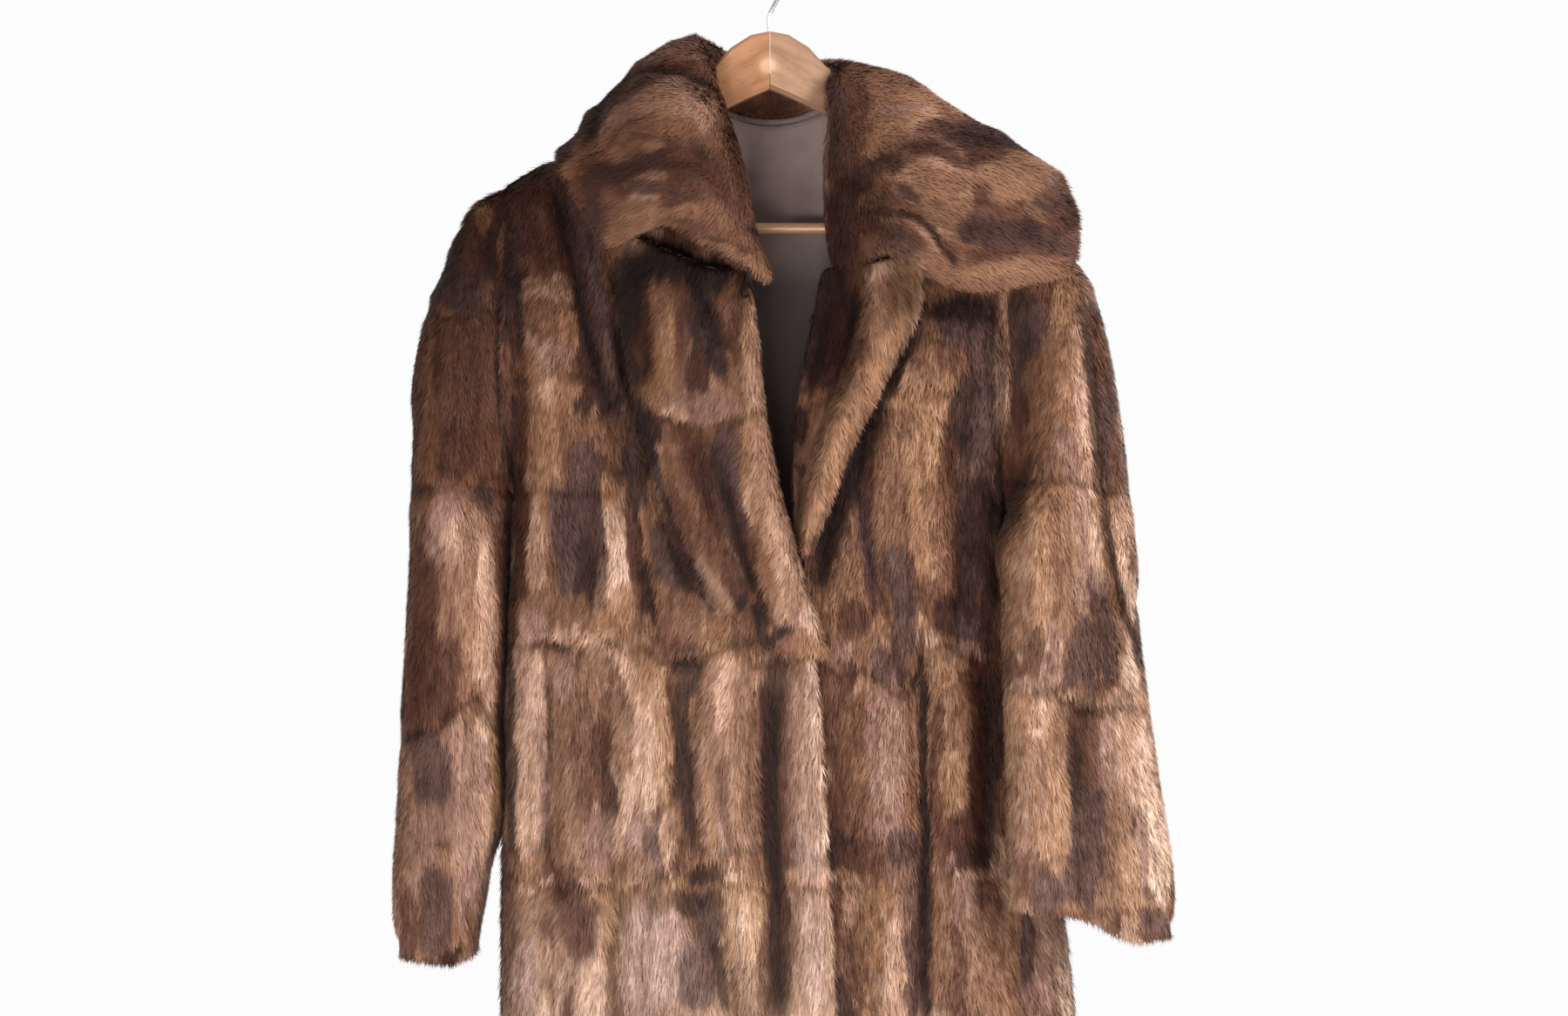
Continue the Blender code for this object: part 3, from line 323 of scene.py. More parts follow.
    "sleeve_left": """
    1195 345 20 40 brown|1172 390 14 70 umber|1190 380 10 50 plum|1222 352 13 34 honey|1212 410 20 34 tan
    1222 440 18 40 honey|1196 450 20 50 tan|1172 470 12 34 russet|1240 430 8 66 -4 pale
    1246 480 6 60 -4 cream|1254 352 10 14 plum|1262 420 12 70 -6 brown|1270 490 10 60 -4 plum
    1280 530 10 34 brown|1284 610 12 50 pale|1292 690 8 60 cream|1165 520 14 44 brown|1190 520 18 44 tan
    1226 520 14 44 rose|1206 540 14 24 tan|1160 562 12 20 russet|1215 570 18 20 honey|1186 620 26 60 honey
    1168 600 12 50 tan|1216 620 12 60 tan|1246 600 14 66 -6 rose|1256 620 6 60 -8 cream|1172 690 20 36 tan
    1196 700 12 40 honey|1222 690 12 50 4 tan|1240 670 10 34 rose|1262 690 14 40 -10 plum
    1250 742 24 36 plum|1234 762 16 22 plum|1272 750 14 30 -10 plum|1208 740 12 34 4 rose
    1186 740 12 26 brown|1165 765 16 18 russet|1190 772 24 8 rose|1296 760 10 40 -8 cream
    1282 700 6 60 -8 tan|1306 700 6 60 plum|1280 800 22 10 rose|1180 790 30 5 pale|1168 850 18 54 honey
    1192 832 14 34 pale|1206 860 12 50 honey|1180 890 20 40 tan|1240 840 18 34 russet|1232 876 10 34 umber
    1256 860 10 40 brown|1276 860 16 46 rose|1212 840 8 40 tan|1298 860 14 56 -6 pale
    1316 900 10 60 -6 cream|1328 970 12 60 -4 cream|1246 950 20 60 plum|1232 1000 22 34 plum
    1206 950 14 60 4 honey|1170 950 20 50 tan|1180 1000 22 24 brown|1160 1020 10 20 honey
    1204 1016 16 22 plum|1256 1010 14 40 plum|1282 950 16 60 tan|1270 1030 14 24 tan|1298 1010 14 46 honey
    1310 960 8 50 rose|1322 1050 16 14 plum|1240 1046 90 4 4 brown|1320 1068 22 5 6 russet""",
}


def patches_of(piece):
    """The chart's patches for a piece. One that gives no lean stands upright."""
    rows = []
    for cell in CHART.get(piece, "").replace("\n", "|").split("|"):
        if cell.strip():
            *numbers, tone = cell.split()
            rows.append(Patch(*map(float, (numbers + ["0"])[:5]), TONES[tone]))
    return rows


print("patches:", {piece: len(patches_of(piece)) for piece in CHART})

# %% [markdown]
# ## Strokes along lines
# Long narrow markings follow a line instead: painted shade beside folds, under the collar and in a
# lapel's hollow, painted highlights along lit ridges and a lapel's roll, and the pale middle of a row of
# pelts.
# Strokes, creases, seams and swells are all written in one way. A line of words names the pieces that
# the next rows belong to. A row gives what its kind holds and, after a colon, the places on the sheet
# that its line runs through. Here that is a tone, a width in steps and a strength.


# %% Rows with a line
def read_rows(kind, text):
    """The rows of each piece, as tuples of a kind."""
    rows = {}
    for row in text.strip().split("\n"):
        if ":" not in row:
            pieces = row.split()
            continue
        words, places = row.split(":")
        values = [TONES[word] if word in TONES else float(word) for word in words.split()]
        line = [tuple(map(float, place.split(","))) for place in places.split()]
        for piece in pieces:
            rows.setdefault(piece, []).append(kind(*values, line))
    return rows


Stroke = namedtuple("Stroke", "tone width strength line")
# Most dark strokes are painted shade, and the pale ones along ridges and rolls are painted highlights.
STROKES = read_rows(Stroke, """
front_right
    soot 5 0.85: 634,200 651,268 668,345 682,405 697,455
    umber 12 0.6: 690,400 712,450 735,500
    plum 8 0.75: 652,250 675,325 694,395 712,445
    soot 8 0.88: 700,350 708,385 724,436 744,488 758,545 772,592 790,640
    umber 9 0.75: 772,592 794,645 822,684 846,694
    umber 14 0.85: 712,296 722,345 728,390
    rose 16 0.75: 922,750 924,840 927,960 934,1080 936,1166
    cream 6 0.3: 932,790 932,880 934,960
    soot 9 0.6: 887,775 885,850 887,950 892,1050 894,1166
    tan 16 0.5: 921,785 924,850 927,960
    cream 6 0.7: 698,572 707,630 703,690
    umber 13 0.8: 583,240 585,300 586,360 588,400
    russet 16 0.6: 612,262 624,280 640,300
    soot 19 0.9: 712,322 742,304 775,296 820,314 850,330
    soot 12 0.85: 716,420 732,460 746,500 756,540
    rose 3 0.5: 606,412 628,396 648,374
    rose 3 0.45: 604,380 622,398 640,420
lapel_right
    soot 20 0.92: 712,318 742,300 775,294 815,312 842,330
    umber 13 0.85: 712,310 722,345 728,390
    honey 20 0.5: 862,480 876,560 896,640 914,700
    pale 13 0.6: 866,350 868,420 872,480 880,560 902,640 920,705
    tan 6 0.6: 764,490 782,530 804,578 828,628 850,674
    soot 6 0.85: 722,436 743,490 757,545 771,592 790,638 816,682
    brown 22 0.5: 778,480 796,530 818,590 838,640
    umber 14 0.55: 800,490 826,560 850,640 868,684
    russet 12 0.5: 776,480 800,540 826,600
    soot 5 0.7: 862,688 874,702 886,710
    umber 11 0.8: 806,322 818,366 834,402
    soot 9 0.7: 728,450 742,490 752,530
collar
    soot 5 0.8: 668,172 690,140 716,112 748,92 786,84 812,96 828,116
    rose 9 0.6: 738,72 766,58 796,52 812,66
    umber 9 0.7: 655,168 680,134 712,104
    rose 15 0.5: 700,142 740,118 780,104 812,116
    soot 5 0.85: 1022,240 1048,248 1066,262 1080,284 1098,306
    umber 15 0.45: 998,186 1030,172 1080,158 1130,150 1178,170
    tan 13 0.6: 1040,210 1090,202 1140,196 1180,200 1215,206
    umber 15 0.4: 1090,258 1130,262 1190,262
    tan 10 0.6: 1066,326 1110,326 1160,318 1215,306
    plum 11 0.7: 962,90 960,150 962,200
    umber 15 0.6: 985,228 1008,246 1030,266 1050,294
    plum 12 0.5: 1012,262 1034,280 1060,302
    soot 12 0.45: 1166,244 1170,266 1160,288
    umber 13 0.45: 1100,246 1128,262 1140,280
    umber 18 0.8: 960,215 968,260 962,300
lapel_left
    soot 22 0.58: 965,210 960,300 955,400 935,450
    honey 9 0.5: 1050,336 1022,400 988,462 956,540 932,620
front_left
    soot 2.2 0.9: 968,953 977,960 986,957 992,962
    soot 13 0.92: 1014,458 998,500 976,560 955,620 942,676
    soot 8 0.85: 1066,350 1036,414 1000,478 972,552 952,620 940,690
    soot 12 0.8: 1062,350 1110,350 1150,346
    umber 6 0.5: 1060,785 1056,850 1062,930 1060,1010 1066,1100
    soot 9 0.7: 1147,350 1147,450 1147,560 1147,700
sleeve_left
    soot 5 0.8: 1236,325 1247,400 1254,500 1264,580 1290,700 1312,780
    pale 9 0.6: 1236,400 1243,470 1248,530 1256,600 1262,680
sleeve_right
    umber 7 0.7: 556,250 568,300 576,380 580,470 580,560
    umber 18 0.6: 522,300 528,330 540,370
""")
print("strokes:", {piece: len(rows) for piece, rows in STROKES.items()})

# %% [markdown]
# ## Shader maths that reads like maths
# A material is a web of nodes. Written out node by node, even a small formula takes many lines. Here a
# socket is wrapped in a class with operators for plus and times, so `fuzz * 0.5` adds a Math node by
# itself.


# %% Sockets as numbers
class Wire:
    """One output socket, used like a number."""

    def __init__(self, socket):
        self.socket = socket

    def math(self, operation, *others, clamp=False):
        settings = {"operation": operation, "use_clamp": clamp}
        return add_node(self.socket.id_data, "Math", settings, [self, *others])

    def __add__(self, other):
        return self.math("ADD", other)

    def __mul__(self, other):
        return self.math("MULTIPLY", other)


def plug_in(socket, value):
    """Links a wire to an input socket, or sets the socket to a plain value."""
    if isinstance(value, Wire):
        socket.id_data.links.new(value.socket, socket)
    else:
        socket.default_value = value


def add_node(tree, kind, settings=(), sockets=(), out=0):
    """A shader node: its settings, then the values or links of its sockets, and one of its outputs."""
    node = tree.nodes.new("ShaderNode" + kind)
    for name, value in dict(settings).items():
        if name == "stops":
            for element, (place, tone) in zip(node.color_ramp.elements, value):
                element.position = place
                element.color = (*tone, 1)
        else:
            setattr(node, name, value)
    given = sockets.items() if isinstance(sockets, dict) else enumerate(sockets)
    for name, value in given:
        plug_in(node.inputs[name], value)
    return Wire(node.outputs[out])


def blend_colours(share, first, second):
    """A colour between two, by a share from 0 to 1."""
    node = share.socket.id_data.nodes.new("ShaderNodeMix")
    node.data_type = "RGBA"
    plug_in(node.inputs[0], share)
    ends = [socket for socket in node.inputs if socket.type == "RGBA"]
    for end, value in zip(ends, (first, second)):
        plug_in(end, value if isinstance(value, Wire) else (*value, 1))
    return Wire(next(socket for socket in node.outputs if socket.type == "RGBA"))


class Finish:
    """A material with one Principled shader."""

    def __init__(self, name, **plain):
        self.material = bpy.data.materials.new(name)
        self.material.use_nodes = True
        self.tree = self.material.node_tree
        self.shader = self.tree.nodes["Principled BSDF"]
        for socket, value in plain.items():
            self.shader.inputs[socket.replace("_", " ")].default_value = value

    def node(self, kind, settings=(), sockets=(), out=0):
        return add_node(self.tree, kind, settings, sockets, out)

    def place(self):
        """Places on the piece, in metres."""
        return self.node("TexCoord", out=3)

    def noise(self, place, scale, **more):
        return self.node("TexNoise", sockets={"Vector": place, "Scale": scale, **more})

    def feed(self, socket, wire):
        plug_in(self.shader.inputs[socket], wire)

    def feed_bump(self, height, strength, distance):
        """Small relief from heights, its distance in metres."""
        sockets = {"Strength": strength, "Distance": distance, "Height": height}
        self.feed("Normal", self.node("Bump", sockets=sockets))


print("a finish can:", ", ".join(name for name in vars(Finish) if not name.startswith("_")))

# %% [markdown]
# ## Finishes for the fur
# Hair is coloured along its length, so its colour is painted on the mesh and only read here. Light
# runs along fur as a soft sheen, which Principled has as its own layer. The hide under the hairs uses
# the same painted colour, but darker, because little light gets down there: that darkening is painted
# shade.

# %% Fur and hide
PAINT = "pelt"
hair_finish = Finish(
    "fur_hair",
    Roughness=0.6,
    Sheen_Weight=0.06,
    Sheen_Roughness=0.4,
    Sheen_Tint=(1.0, 0.84, 0.76, 1),
    Specular_IOR_Level=0.14,
)
hair_finish.feed("Base Color", hair_finish.node("Attribute", {"attribute_name": PAINT}))

under_finish = Finish("fur_under", Roughness=0.85, Specular_IOR_Level=0.06)
under_paint = under_finish.node("Attribute", {"attribute_name": PAINT})
fuzz = under_finish.noise(under_finish.place(), 420.0, Detail=3.0)
# Painted shade between the hairs: noise mixes the hide's colour towards near black.
under_finish.feed("Base Color", blend_colours(fuzz * 0.5, under_paint, (0.012, 0.008, 0.007)))
under_finish.feed_bump(fuzz, 0.6, 0.002)
print("fur finishes:", hair_finish.material.name, under_finish.material.name)

# %% [markdown]
# ## The lining's satin
# Satin has a fine diagonal weave, a long soft sheen and small pulls where it is sewn. It is taupe here.
# The weave is a fine wave across the cloth, and slow noise turns the tone a little between the folds.
# Further down inside the coat it gets darker: painted shade, as less light reaches in there.

# %% Satin
satin = Finish("lining_satin", Roughness=0.4, Sheen_Weight=0.25, Sheen_Roughness=0.3)
place = satin.place()
weave = satin.node(
    "TexWave",
    {"wave_type": "BANDS", "bands_direction": "DIAGONAL"},
    {"Vector": place, "Scale": 900.0, "Distortion": 1.0, "Detail": 1.0},
)
drift = satin.noise(place, 26.0, Detail=3.0)
cloth = blend_colours(drift, linear(84, 68, 64), linear(176, 148, 140))
# Painted shade: the satin darkens towards the bottom, where less light gets inside the coat.
level = satin.node("SeparateXYZ", sockets=[place], out=2)
lit = level.math("MULTIPLY_ADD", 12.0, 3.3, clamp=True)
satin.feed("Base Color", blend_colours(lit, linear(72, 56, 52), cloth))
satin.feed("Roughness", drift * 0.2 + 0.32)
satin.feed_bump(weave * 0.06 + satin.noise(place, 24.0, Detail=4.0), 0.6, 0.004)
print("satin nodes:", len(satin.tree.nodes))

# %% [markdown]
# ## Beech and steel
# The hanger is turned and cut from beech: pale, with short dark flecks along the grain under a clear
# lacquer, and a round plug in its crest. Its two arms are lit and shaded copies of one beech: a deeper
# orange as painted shade on the arm away from the light, a paler peach as painted light on the other.
# The hook is steel wire, finely uneven in its shine.

# %% Beech
PLUG = (-0.0021, 0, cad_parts["hanger_arm_right"].bound_box[1][2] - 0.028)
PLUG_STOPS = [(0.0052, (0.55, 0.55, 0.55)), (0.0085, (0, 0, 0))]
FLECK_STOPS = [(0.62, (0, 0, 0)), (0.7, (1, 1, 1))]


def beech(name, pale, deep, turn):
    """A lacquered beech whose grain runs along X, tipped down by turn (radians) either way."""
    finish = Finish(name, Roughness=0.38, Coat_Weight=0.35, Coat_Roughness=0.2)
    place = finish.place()
    level = finish.node("Mapping", sockets={"Vector": place, "Rotation": (0, turn, 0), "Scale": (1, 1, 1)})
    long = finish.node("Mapping", sockets={"Vector": level, "Scale": (9, 120, 120)})
    rings = finish.noise(long, 1.0, Detail=5.0, Roughness=0.6)
    dash = finish.node("Mapping", sockets={"Vector": level, "Scale": (90, 900, 900)})
    fleck = finish.noise(dash, 1.0, Detail=2.0)
    wood = finish.node("ValToRGB", {"stops": [(0.3, deep), (0.68, pale)]}, [rings])
    from_plug = finish.node("VectorMath", {"operation": "SUBTRACT"}, [place, PLUG])
    flat = finish.node("VectorMath", {"operation": "MULTIPLY"}, [from_plug, (1, 0, 1)])
    reach = finish.node("VectorMath", {"operation": "LENGTH"}, [flat], out=1)
    plug = finish.node("ValToRGB", {"stops": PLUG_STOPS}, [reach])
    wood = blend_colours(plug, wood, linear(216, 176, 142))
    marks = finish.node("ValToRGB", {"stops": FLECK_STOPS}, [fleck])
    finish.feed("Base Color", blend_colours(marks * 0.45, wood, deep * 0.45))
    finish.feed("Roughness", rings * 0.2 + 0.28)
    finish.feed_bump(rings, 0.15, 0.0004)
    return finish.material


def dress(node, material):
    """Gives a packed node its finish."""
    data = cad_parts[node].data
    data.materials.clear()
    data.materials.append(material)


GRAIN_TIP = 0.45
# The arms' two tones are painted shade and painted light: deeper orange away from the light, paler peach
# facing it.
BEECH_LOOKS = {
    "hanger_arm_right": ("beech_shaded_arm", linear(168, 120, 84), linear(136, 90, 58), GRAIN_TIP),
    "hanger_arm_left": ("beech_lit_arm", linear(150, 116, 90), linear(128, 92, 66), -GRAIN_TIP),
    "trouser_bar": ("beech_bar", linear(214, 162, 116), linear(172, 118, 78), 0.0),
}
for node, beech_look in BEECH_LOOKS.items():
    dress(node, beech(*beech_look))
print("beech on", ", ".join(BEECH_LOOKS))


# %% Steel wire
def steel(name, tone):
    """Steel with fine specks, a little duller than the rest."""
    finish = Finish(name, Metallic=1.0, Roughness=0.28)
    specks = finish.noise(finish.place(), 900.0, Detail=2.0)
    finish.feed("Base Color", blend_colours(specks, tone, tone * 0.75))
    finish.feed("Roughness", specks * 0.25 + 0.16)
    return finish.material


dress("hanger_hook", steel("hook_steel", np.array((0.62, 0.62, 0.61))))
print("steel on hanger_hook")

# %% [markdown]
# ## The fur hook
# A furrier's hook is black lacquered wire, bent double. Its two legs spread below the thread that holds
# them: one is curled in, the other ends in a small ball. A curve with a round bevel is just such a wire,
# and a point's radius swells it into the ball. It hangs where the packed hook hangs. Its bends are in
# millimetres from the middle of that hook's top.

# %% Hook wire
HOOK_WIRE = 0.0012
HOOK_BENDS = [
    (5.1, -2.2, -24.1), (3.0, -2.4, -26.1), (0.9, -2.3, -25.3), (-0.1, -2.0, -22.4), (1.3, -1.6, -18.9),
    (3.4, -1.0, -14.9), (4.1, -0.5, -10.3), (3.7, 0.0, -6.0), (3.5, 0.3, -3.4), (4.9, 0.3, -3.4),
    (5.1, 0.0, -6.0), (5.2, -0.6, -10.3), (6.2, -1.2, -14.9), (8.3, -1.8, -19.5), (10.4, -2.2, -23.5),
    (11.4, -2.5, -26.3), (11.5, -2.5, -26.9),
]
HOOK_BALL = 1.6
japanned = Finish("fur_hook_black", Roughness=0.3, Specular_IOR_Level=0.07)
chips = japanned.noise(japanned.place(), 700.0)
japanned.feed("Base Color", blend_colours(chips, (0.002, 0.0015, 0.0015), (0.008, 0.006, 0.006)))


def make_fur_hook():
    low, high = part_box("fur_hook")
    curve = bpy.data.curves.new("hook_wire", "CURVE")
    curve.dimensions = "3D"
    curve.bevel_depth = HOOK_WIRE
    curve.bevel_resolution = 3
    curve.use_fill_caps = True
    wire = curve.splines.new("NURBS")
    wire.order_u = 3
    wire.use_endpoint_u = True
    wire.points.add(len(HOOK_BENDS) - 1)
    for point, (x, y, z) in zip(wire.points, HOOK_BENDS):
        point.co = ((low.x + high.x) / 2 + x / 1000, (low.y + high.y) / 2 + y / 1000, high.z + z / 1000, 1)
    for point in wire.points[-2:]:
        point.radius = HOOK_BALL
    curve.materials.append(japanned.material)
    return add_object("hook_wire", curve)


fur_hook = make_fur_hook()
print("hook wire bends:", len(HOOK_BENDS))

# %% [markdown]
# ## From walls to soft shells
# A packed wall has few faces. A copy with its triangles joined back to four-sided faces, and one or two
# rounds of Catmull-Clark subdivision, follows the same form with soft edges. The faces stay sorted: the
# fur side, the hide side, and the rim between them. A flood over the flat parts finds them, because the
# rim is the only place where the wall turns sharply.


# %% Reading and writing meshes
def read(items, field, kind=float, wide=1):
    """A value, or a few, of each vertex, face or corner as an array."""
    values = np.empty(len(items) * wide, kind)
    items.foreach_get(field, values)
    return values.reshape(-1, wide) if wide > 1 else values


def read_points(mesh):
    return read(mesh.vertices, "co", wide=3)


def read_normals(mesh):
    return read(mesh.vertex_normals, "vector", wide=3)


def read_sides(mesh):
    return read(mesh.polygons, "material_index", np.int32)


def write_points(mesh, points):
    mesh.vertices.foreach_set("co", np.asarray(points, np.float32).ravel())
    mesh.update()


def soften(mesh):
    """Shades faces as one smooth surface."""
    mesh.polygons.foreach_set("use_smooth", np.ones(len(mesh.polygons), bool))


print("points of the back's packed wall:", len(read_points(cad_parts["back"].data)))


# %% Sorting a wall's faces
FUR_SIDE = 0
HIDE_SIDE = 1
RIM = 2
RIM_TURN = math.radians(50)
TUBE_RIM_TURN = math.radians(30)
CORE_X = (-0.15, 0.13)
CORE_Y = 0.010
CORE_TOP = -0.24


def core_of(points):
    """For each point, a place inside the coat that the fur faces away from."""
    x = np.clip(points[:, 0], *CORE_X)
    return np.stack([x, np.full(len(points), CORE_Y), np.minimum(points[:, 2], CORE_TOP)], axis=1)


def flood(sheet, most):
    """An island number for each face, where no edge inside an island turns more, and their areas."""
    island = [-1] * len(sheet.faces)
    areas = []
    for start in sheet.faces:
        if island[start.index] >= 0:
            continue
        island[start.index] = len(areas)
        areas.append(0.0)
        queue = [start]
        while queue:
            face = queue.pop()
            areas[-1] += face.calc_area()
            for edge in face.edges:
                if len(edge.link_faces) == 2 and edge.calc_face_angle(0) < most:
                    for near in edge.link_faces:
                        if island[near.index] < 0:
                            island[near.index] = len(areas) - 1
                            queue.append(near)
    return np.array(island), areas


def sort_faces(sheet, piece):
    """Marks every face of a wall with its side. A tube's outside is the larger one."""
    sheet.normal_update()
    sheet.faces.ensure_lookup_table()
    tube = piece.startswith(("sleeve", "cuff"))
    island, areas = flood(sheet, TUBE_RIM_TURN if tube else RIM_TURN)
    centres = np.array([face.calc_center_median()[:] for face in sheet.faces])
    normals = np.array([face.normal[:] for face in sheet.faces])
    sizes = np.array([face.calc_area() for face in sheet.faces])
    open_way = (normals * (centres - core_of(centres))).sum(axis=1) * sizes
    largest = np.argsort(areas)[::-1][:2]
    fur = max(largest, key=lambda k: areas[k] if tube else open_way[island == k].sum() / areas[k])
    for face, k in zip(sheet.faces, island):
        face.material_index = FUR_SIDE if k == fur else HIDE_SIDE if k in largest else RIM
    return [round(areas[k], 3) for k in largest]


print("a rim turns by more than", round(math.degrees(RIM_TURN)), "degrees")


# %% Copying a wall
JOIN_TURN = math.radians(50)
JOIN_SHAPE = math.radians(75)
FIRM_RIM = 1.0
ROLLED_RIM = 0.5


def soft_copy(node, rounds=2):
    """A subdivided mesh of a packed wall, its faces sorted by side."""
    sheet = bmesh.new()
    sheet.from_mesh(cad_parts[node].data)
    bmesh.ops.remove_doubles(sheet, verts=sheet.verts, dist=1e-6)
    found = sort_faces(sheet, node)
    bmesh.ops.join_triangles(
        sheet,
        faces=sheet.faces,
        cmp_materials=True,
        angle_face_threshold=JOIN_TURN,
        angle_shape_threshold=JOIN_SHAPE,
    )
    keep = sheet.edges.layers.float.new("crease_edge")
    for edge in sheet.edges:
        sides = {face.material_index for face in edge.link_faces}
        if RIM in sides and len(sides) > 1:
            edge[keep] = ROLLED_RIM if node.startswith(("collar", "lapel")) else FIRM_RIM
    mesh = bpy.data.meshes.new("coarse_" + node)
    sheet.to_mesh(mesh)
    sheet.free()
    coarse = add_object("coarse_" + node, mesh)
    smooth = coarse.modifiers.new("soft", "SUBSURF")
    smooth.levels = rounds
    smooth.boundary_smooth = "ALL"
    fine = bpy.data.meshes.new_from_object(coarse.evaluated_get(bpy.context.evaluated_depsgraph_get()))
    bpy.data.objects.remove(coarse)
    bpy.data.meshes.remove(mesh)
    print(f"{node}: sides of {found} m2, {len(fine.polygons)} faces")
    return fine


def side_shares(mesh):
    """For each vertex, how much of what meets there is the fur side, and how much is rim."""
    corner_side = np.repeat(read_sides(mesh), read(mesh.polygons, "loop_total", np.int32))
    corner_vertex = read(mesh.loops, "vertex_index", np.int32)
    count = np.bincount(corner_vertex, minlength=len(mesh.vertices))
    shares = []
    for side in (FUR_SIDE, RIM):
        found = np.bincount(corner_vertex, weights=corner_side == side, minlength=len(mesh.vertices))
        shares.append(found / np.maximum(count, 1))
    return shares


def facing_fur(mesh, share):
    """For each vertex, the nearest fur-side vertex's place and normal."""
    points = read_points(mesh)
    normals = read_normals(mesh)
    fur = np.nonzero(share > 0.99)[0]
    tree = mathutils.kdtree.KDTree(len(fur))
    for k, index in enumerate(fur):
        tree.insert(points[index], k)
    tree.balance()
    nearest = np.array([fur[tree.find(point)[1]] for point in points])
    return points[nearest], normals[nearest]

# %% [markdown]
# ## Creases placed one by one
# A hanging coat is never smooth. Its folds are rows here: a half width in steps, a depth in millimetres
# (a ridge has a minus sign) and a line. Each fades at its ends. The back has rows of its own, which fall
# straight through the coat.

# %% Creases
Crease = namedtuple("Crease", "width depth line")
CREASES = read_rows(Crease, """
front_right
    13 7: 628,186 650,262 667,340 681,402 697,458 704,500
    9 -3: 656,258 676,328 694,396 716,452
front_right lapel_right
    22 6: 708,280 720,340 730,400 742,450
front_right
    13 7: 704,360 716,420 742,486 760,548 774,596 796,648 838,694
    26 -3.5: 624,330 636,420 640,520 634,640 628,720
    12 3: 592,250 600,340 598,440 588,560 586,700
    15 3.6: 700,470 708,560 732,640 762,740
    22 3.2: 664,540 658,620 652,720
    16 -3.2: 706,560 704,640 700,716
    12 4: 630,750 632,830 629,930 634,1006
    20 -3: 611,750 610,860 612,980
    17 3.6: 690,790 686,880 694,960 706,1040 697,1166
    30 -4.2: 740,760 744,860 750,980 758,1080 768,1180
    17 5.2: 784,762 788,860 790,960 800,1040 826,1110 850,1180
    24 -4: 832,756 836,860 842,960 850,1060 862,1180
    17 7: 900,752 888,820 885,930 890,1040 893,1190
    17 -5: 924,748 924,840 927,960 934,1080 936,1190
    9 4: 768,756 796,758 826,748
    18 4: 846,694 880,716 920,738
    16 -3: 862,742 900,744 932,740
    26 -3.2: 640,1030 636,1100 630,1170
front_left
    13 5: 1062,730 1063,820 1062,940 1058,1060 1054,1190
    28 -4: 1026,790 1024,880 1022,980 1024,1100
    26 -4.4: 1102,770 1100,900 1108,980 1118,1100 1126,1190
    17 3.6: 974,780 972,860 970,960 986,1060 996,1180
    16 5: 1136,740 1134,860 1130,960 1136,1040
    18 3.6: 1172,1050 1176,1110 1180,1190
    18 5: 1096,450 1100,540 1106,650 1116,730
    24 -4: 1062,450 1068,540 1074,640 1076,720
    14 7: 1060,346 1032,410 996,470 966,550 944,620 936,700
    14 3.6: 1002,490 990,560 1004,640 1022,720
    20 -3: 1026,480 1022,560 1040,660
    9 3.4: 940,752 1000,772 1036,792 1060,750 1100,738 1145,760
    18 5: 1060,346 1110,350 1150,350
sleeve_right
    12 2.6: 490,356 540,352 585,360
    12 3: 466,556 520,560 576,562
    10 3.6: 455,846 500,835 530,802 548,796 566,832
    12 3: 556,236 566,300 574,380 578,470 578,550
    20 -3.6: 520,400 522,480 520,540
    20 3.4: 482,590 480,700 484,820
    22 -4.4: 540,590 544,700 542,790
    22 3.6: 502,856 498,940 500,1060
    18 -3.4: 546,850 544,950 530,1050
sleeve_left
    8 6.5: 1234,322 1246,400 1253,500 1264,580 1290,700 1312,780
    20 -4: 1222,350 1234,440 1240,540 1252,640
    18 4.4: 1178,350 1176,440 1166,540 1160,620
    12 3: 1150,552 1200,548 1262,556
    10 3.2: 1150,790 1210,788 1222,800 1262,812 1330,810
    13 4.4: 1237,800 1239,860 1234,930
    26 -4.4: 1200,570 1206,660 1210,760
    22 3.6: 1262,660 1266,740 1272,800
    24 -4: 1186,820 1184,920 1190,1010
    22 3.4: 1262,860 1258,960 1250,1040
    18 -3.6: 1300,820 1306,920 1308,1030
collar
    8 8: 668,180 700,112 722,92 752,78 792,80 830,108
    18 4.6: 662,184 700,192 760,186 832,176
    13 -3.2: 708,238 760,230 815,236 850,262
    18 -4: 730,130 780,110 822,126
    7 5.5: 1022,240 1048,248 1066,262 1080,284 1098,306
    13 3.8: 1000,190 1030,174 1100,158 1172,168
    16 -3.6: 1040,206 1100,198 1160,200 1226,204
    15 4: 1090,268 1140,262 1200,264
    14 -4: 1070,322 1140,318 1214,308
    18 -3.2: 985,96 1030,108 1080,130
    14 4: 962,200 985,216 1024,214
lapel_right
    12 5: 800,306 816,356 832,402
    20 -3.6: 764,320 768,400 782,450
    9 3: 756,482 790,488 816,492 840,482 870,474
    12 5.5: 812,500 832,560 852,620 872,694
    9 -4: 752,440 772,506 798,566 822,622 850,682
    15 -3.6: 862,360 868,430 872,500 884,570 902,640 918,700
lapel_left
    12 4: 990,290 984,350 972,420 950,460
    12 -4: 1050,330 1020,400 985,466 952,540 930,620
    18 -3: 1026,300 1012,350 1000,400
""")
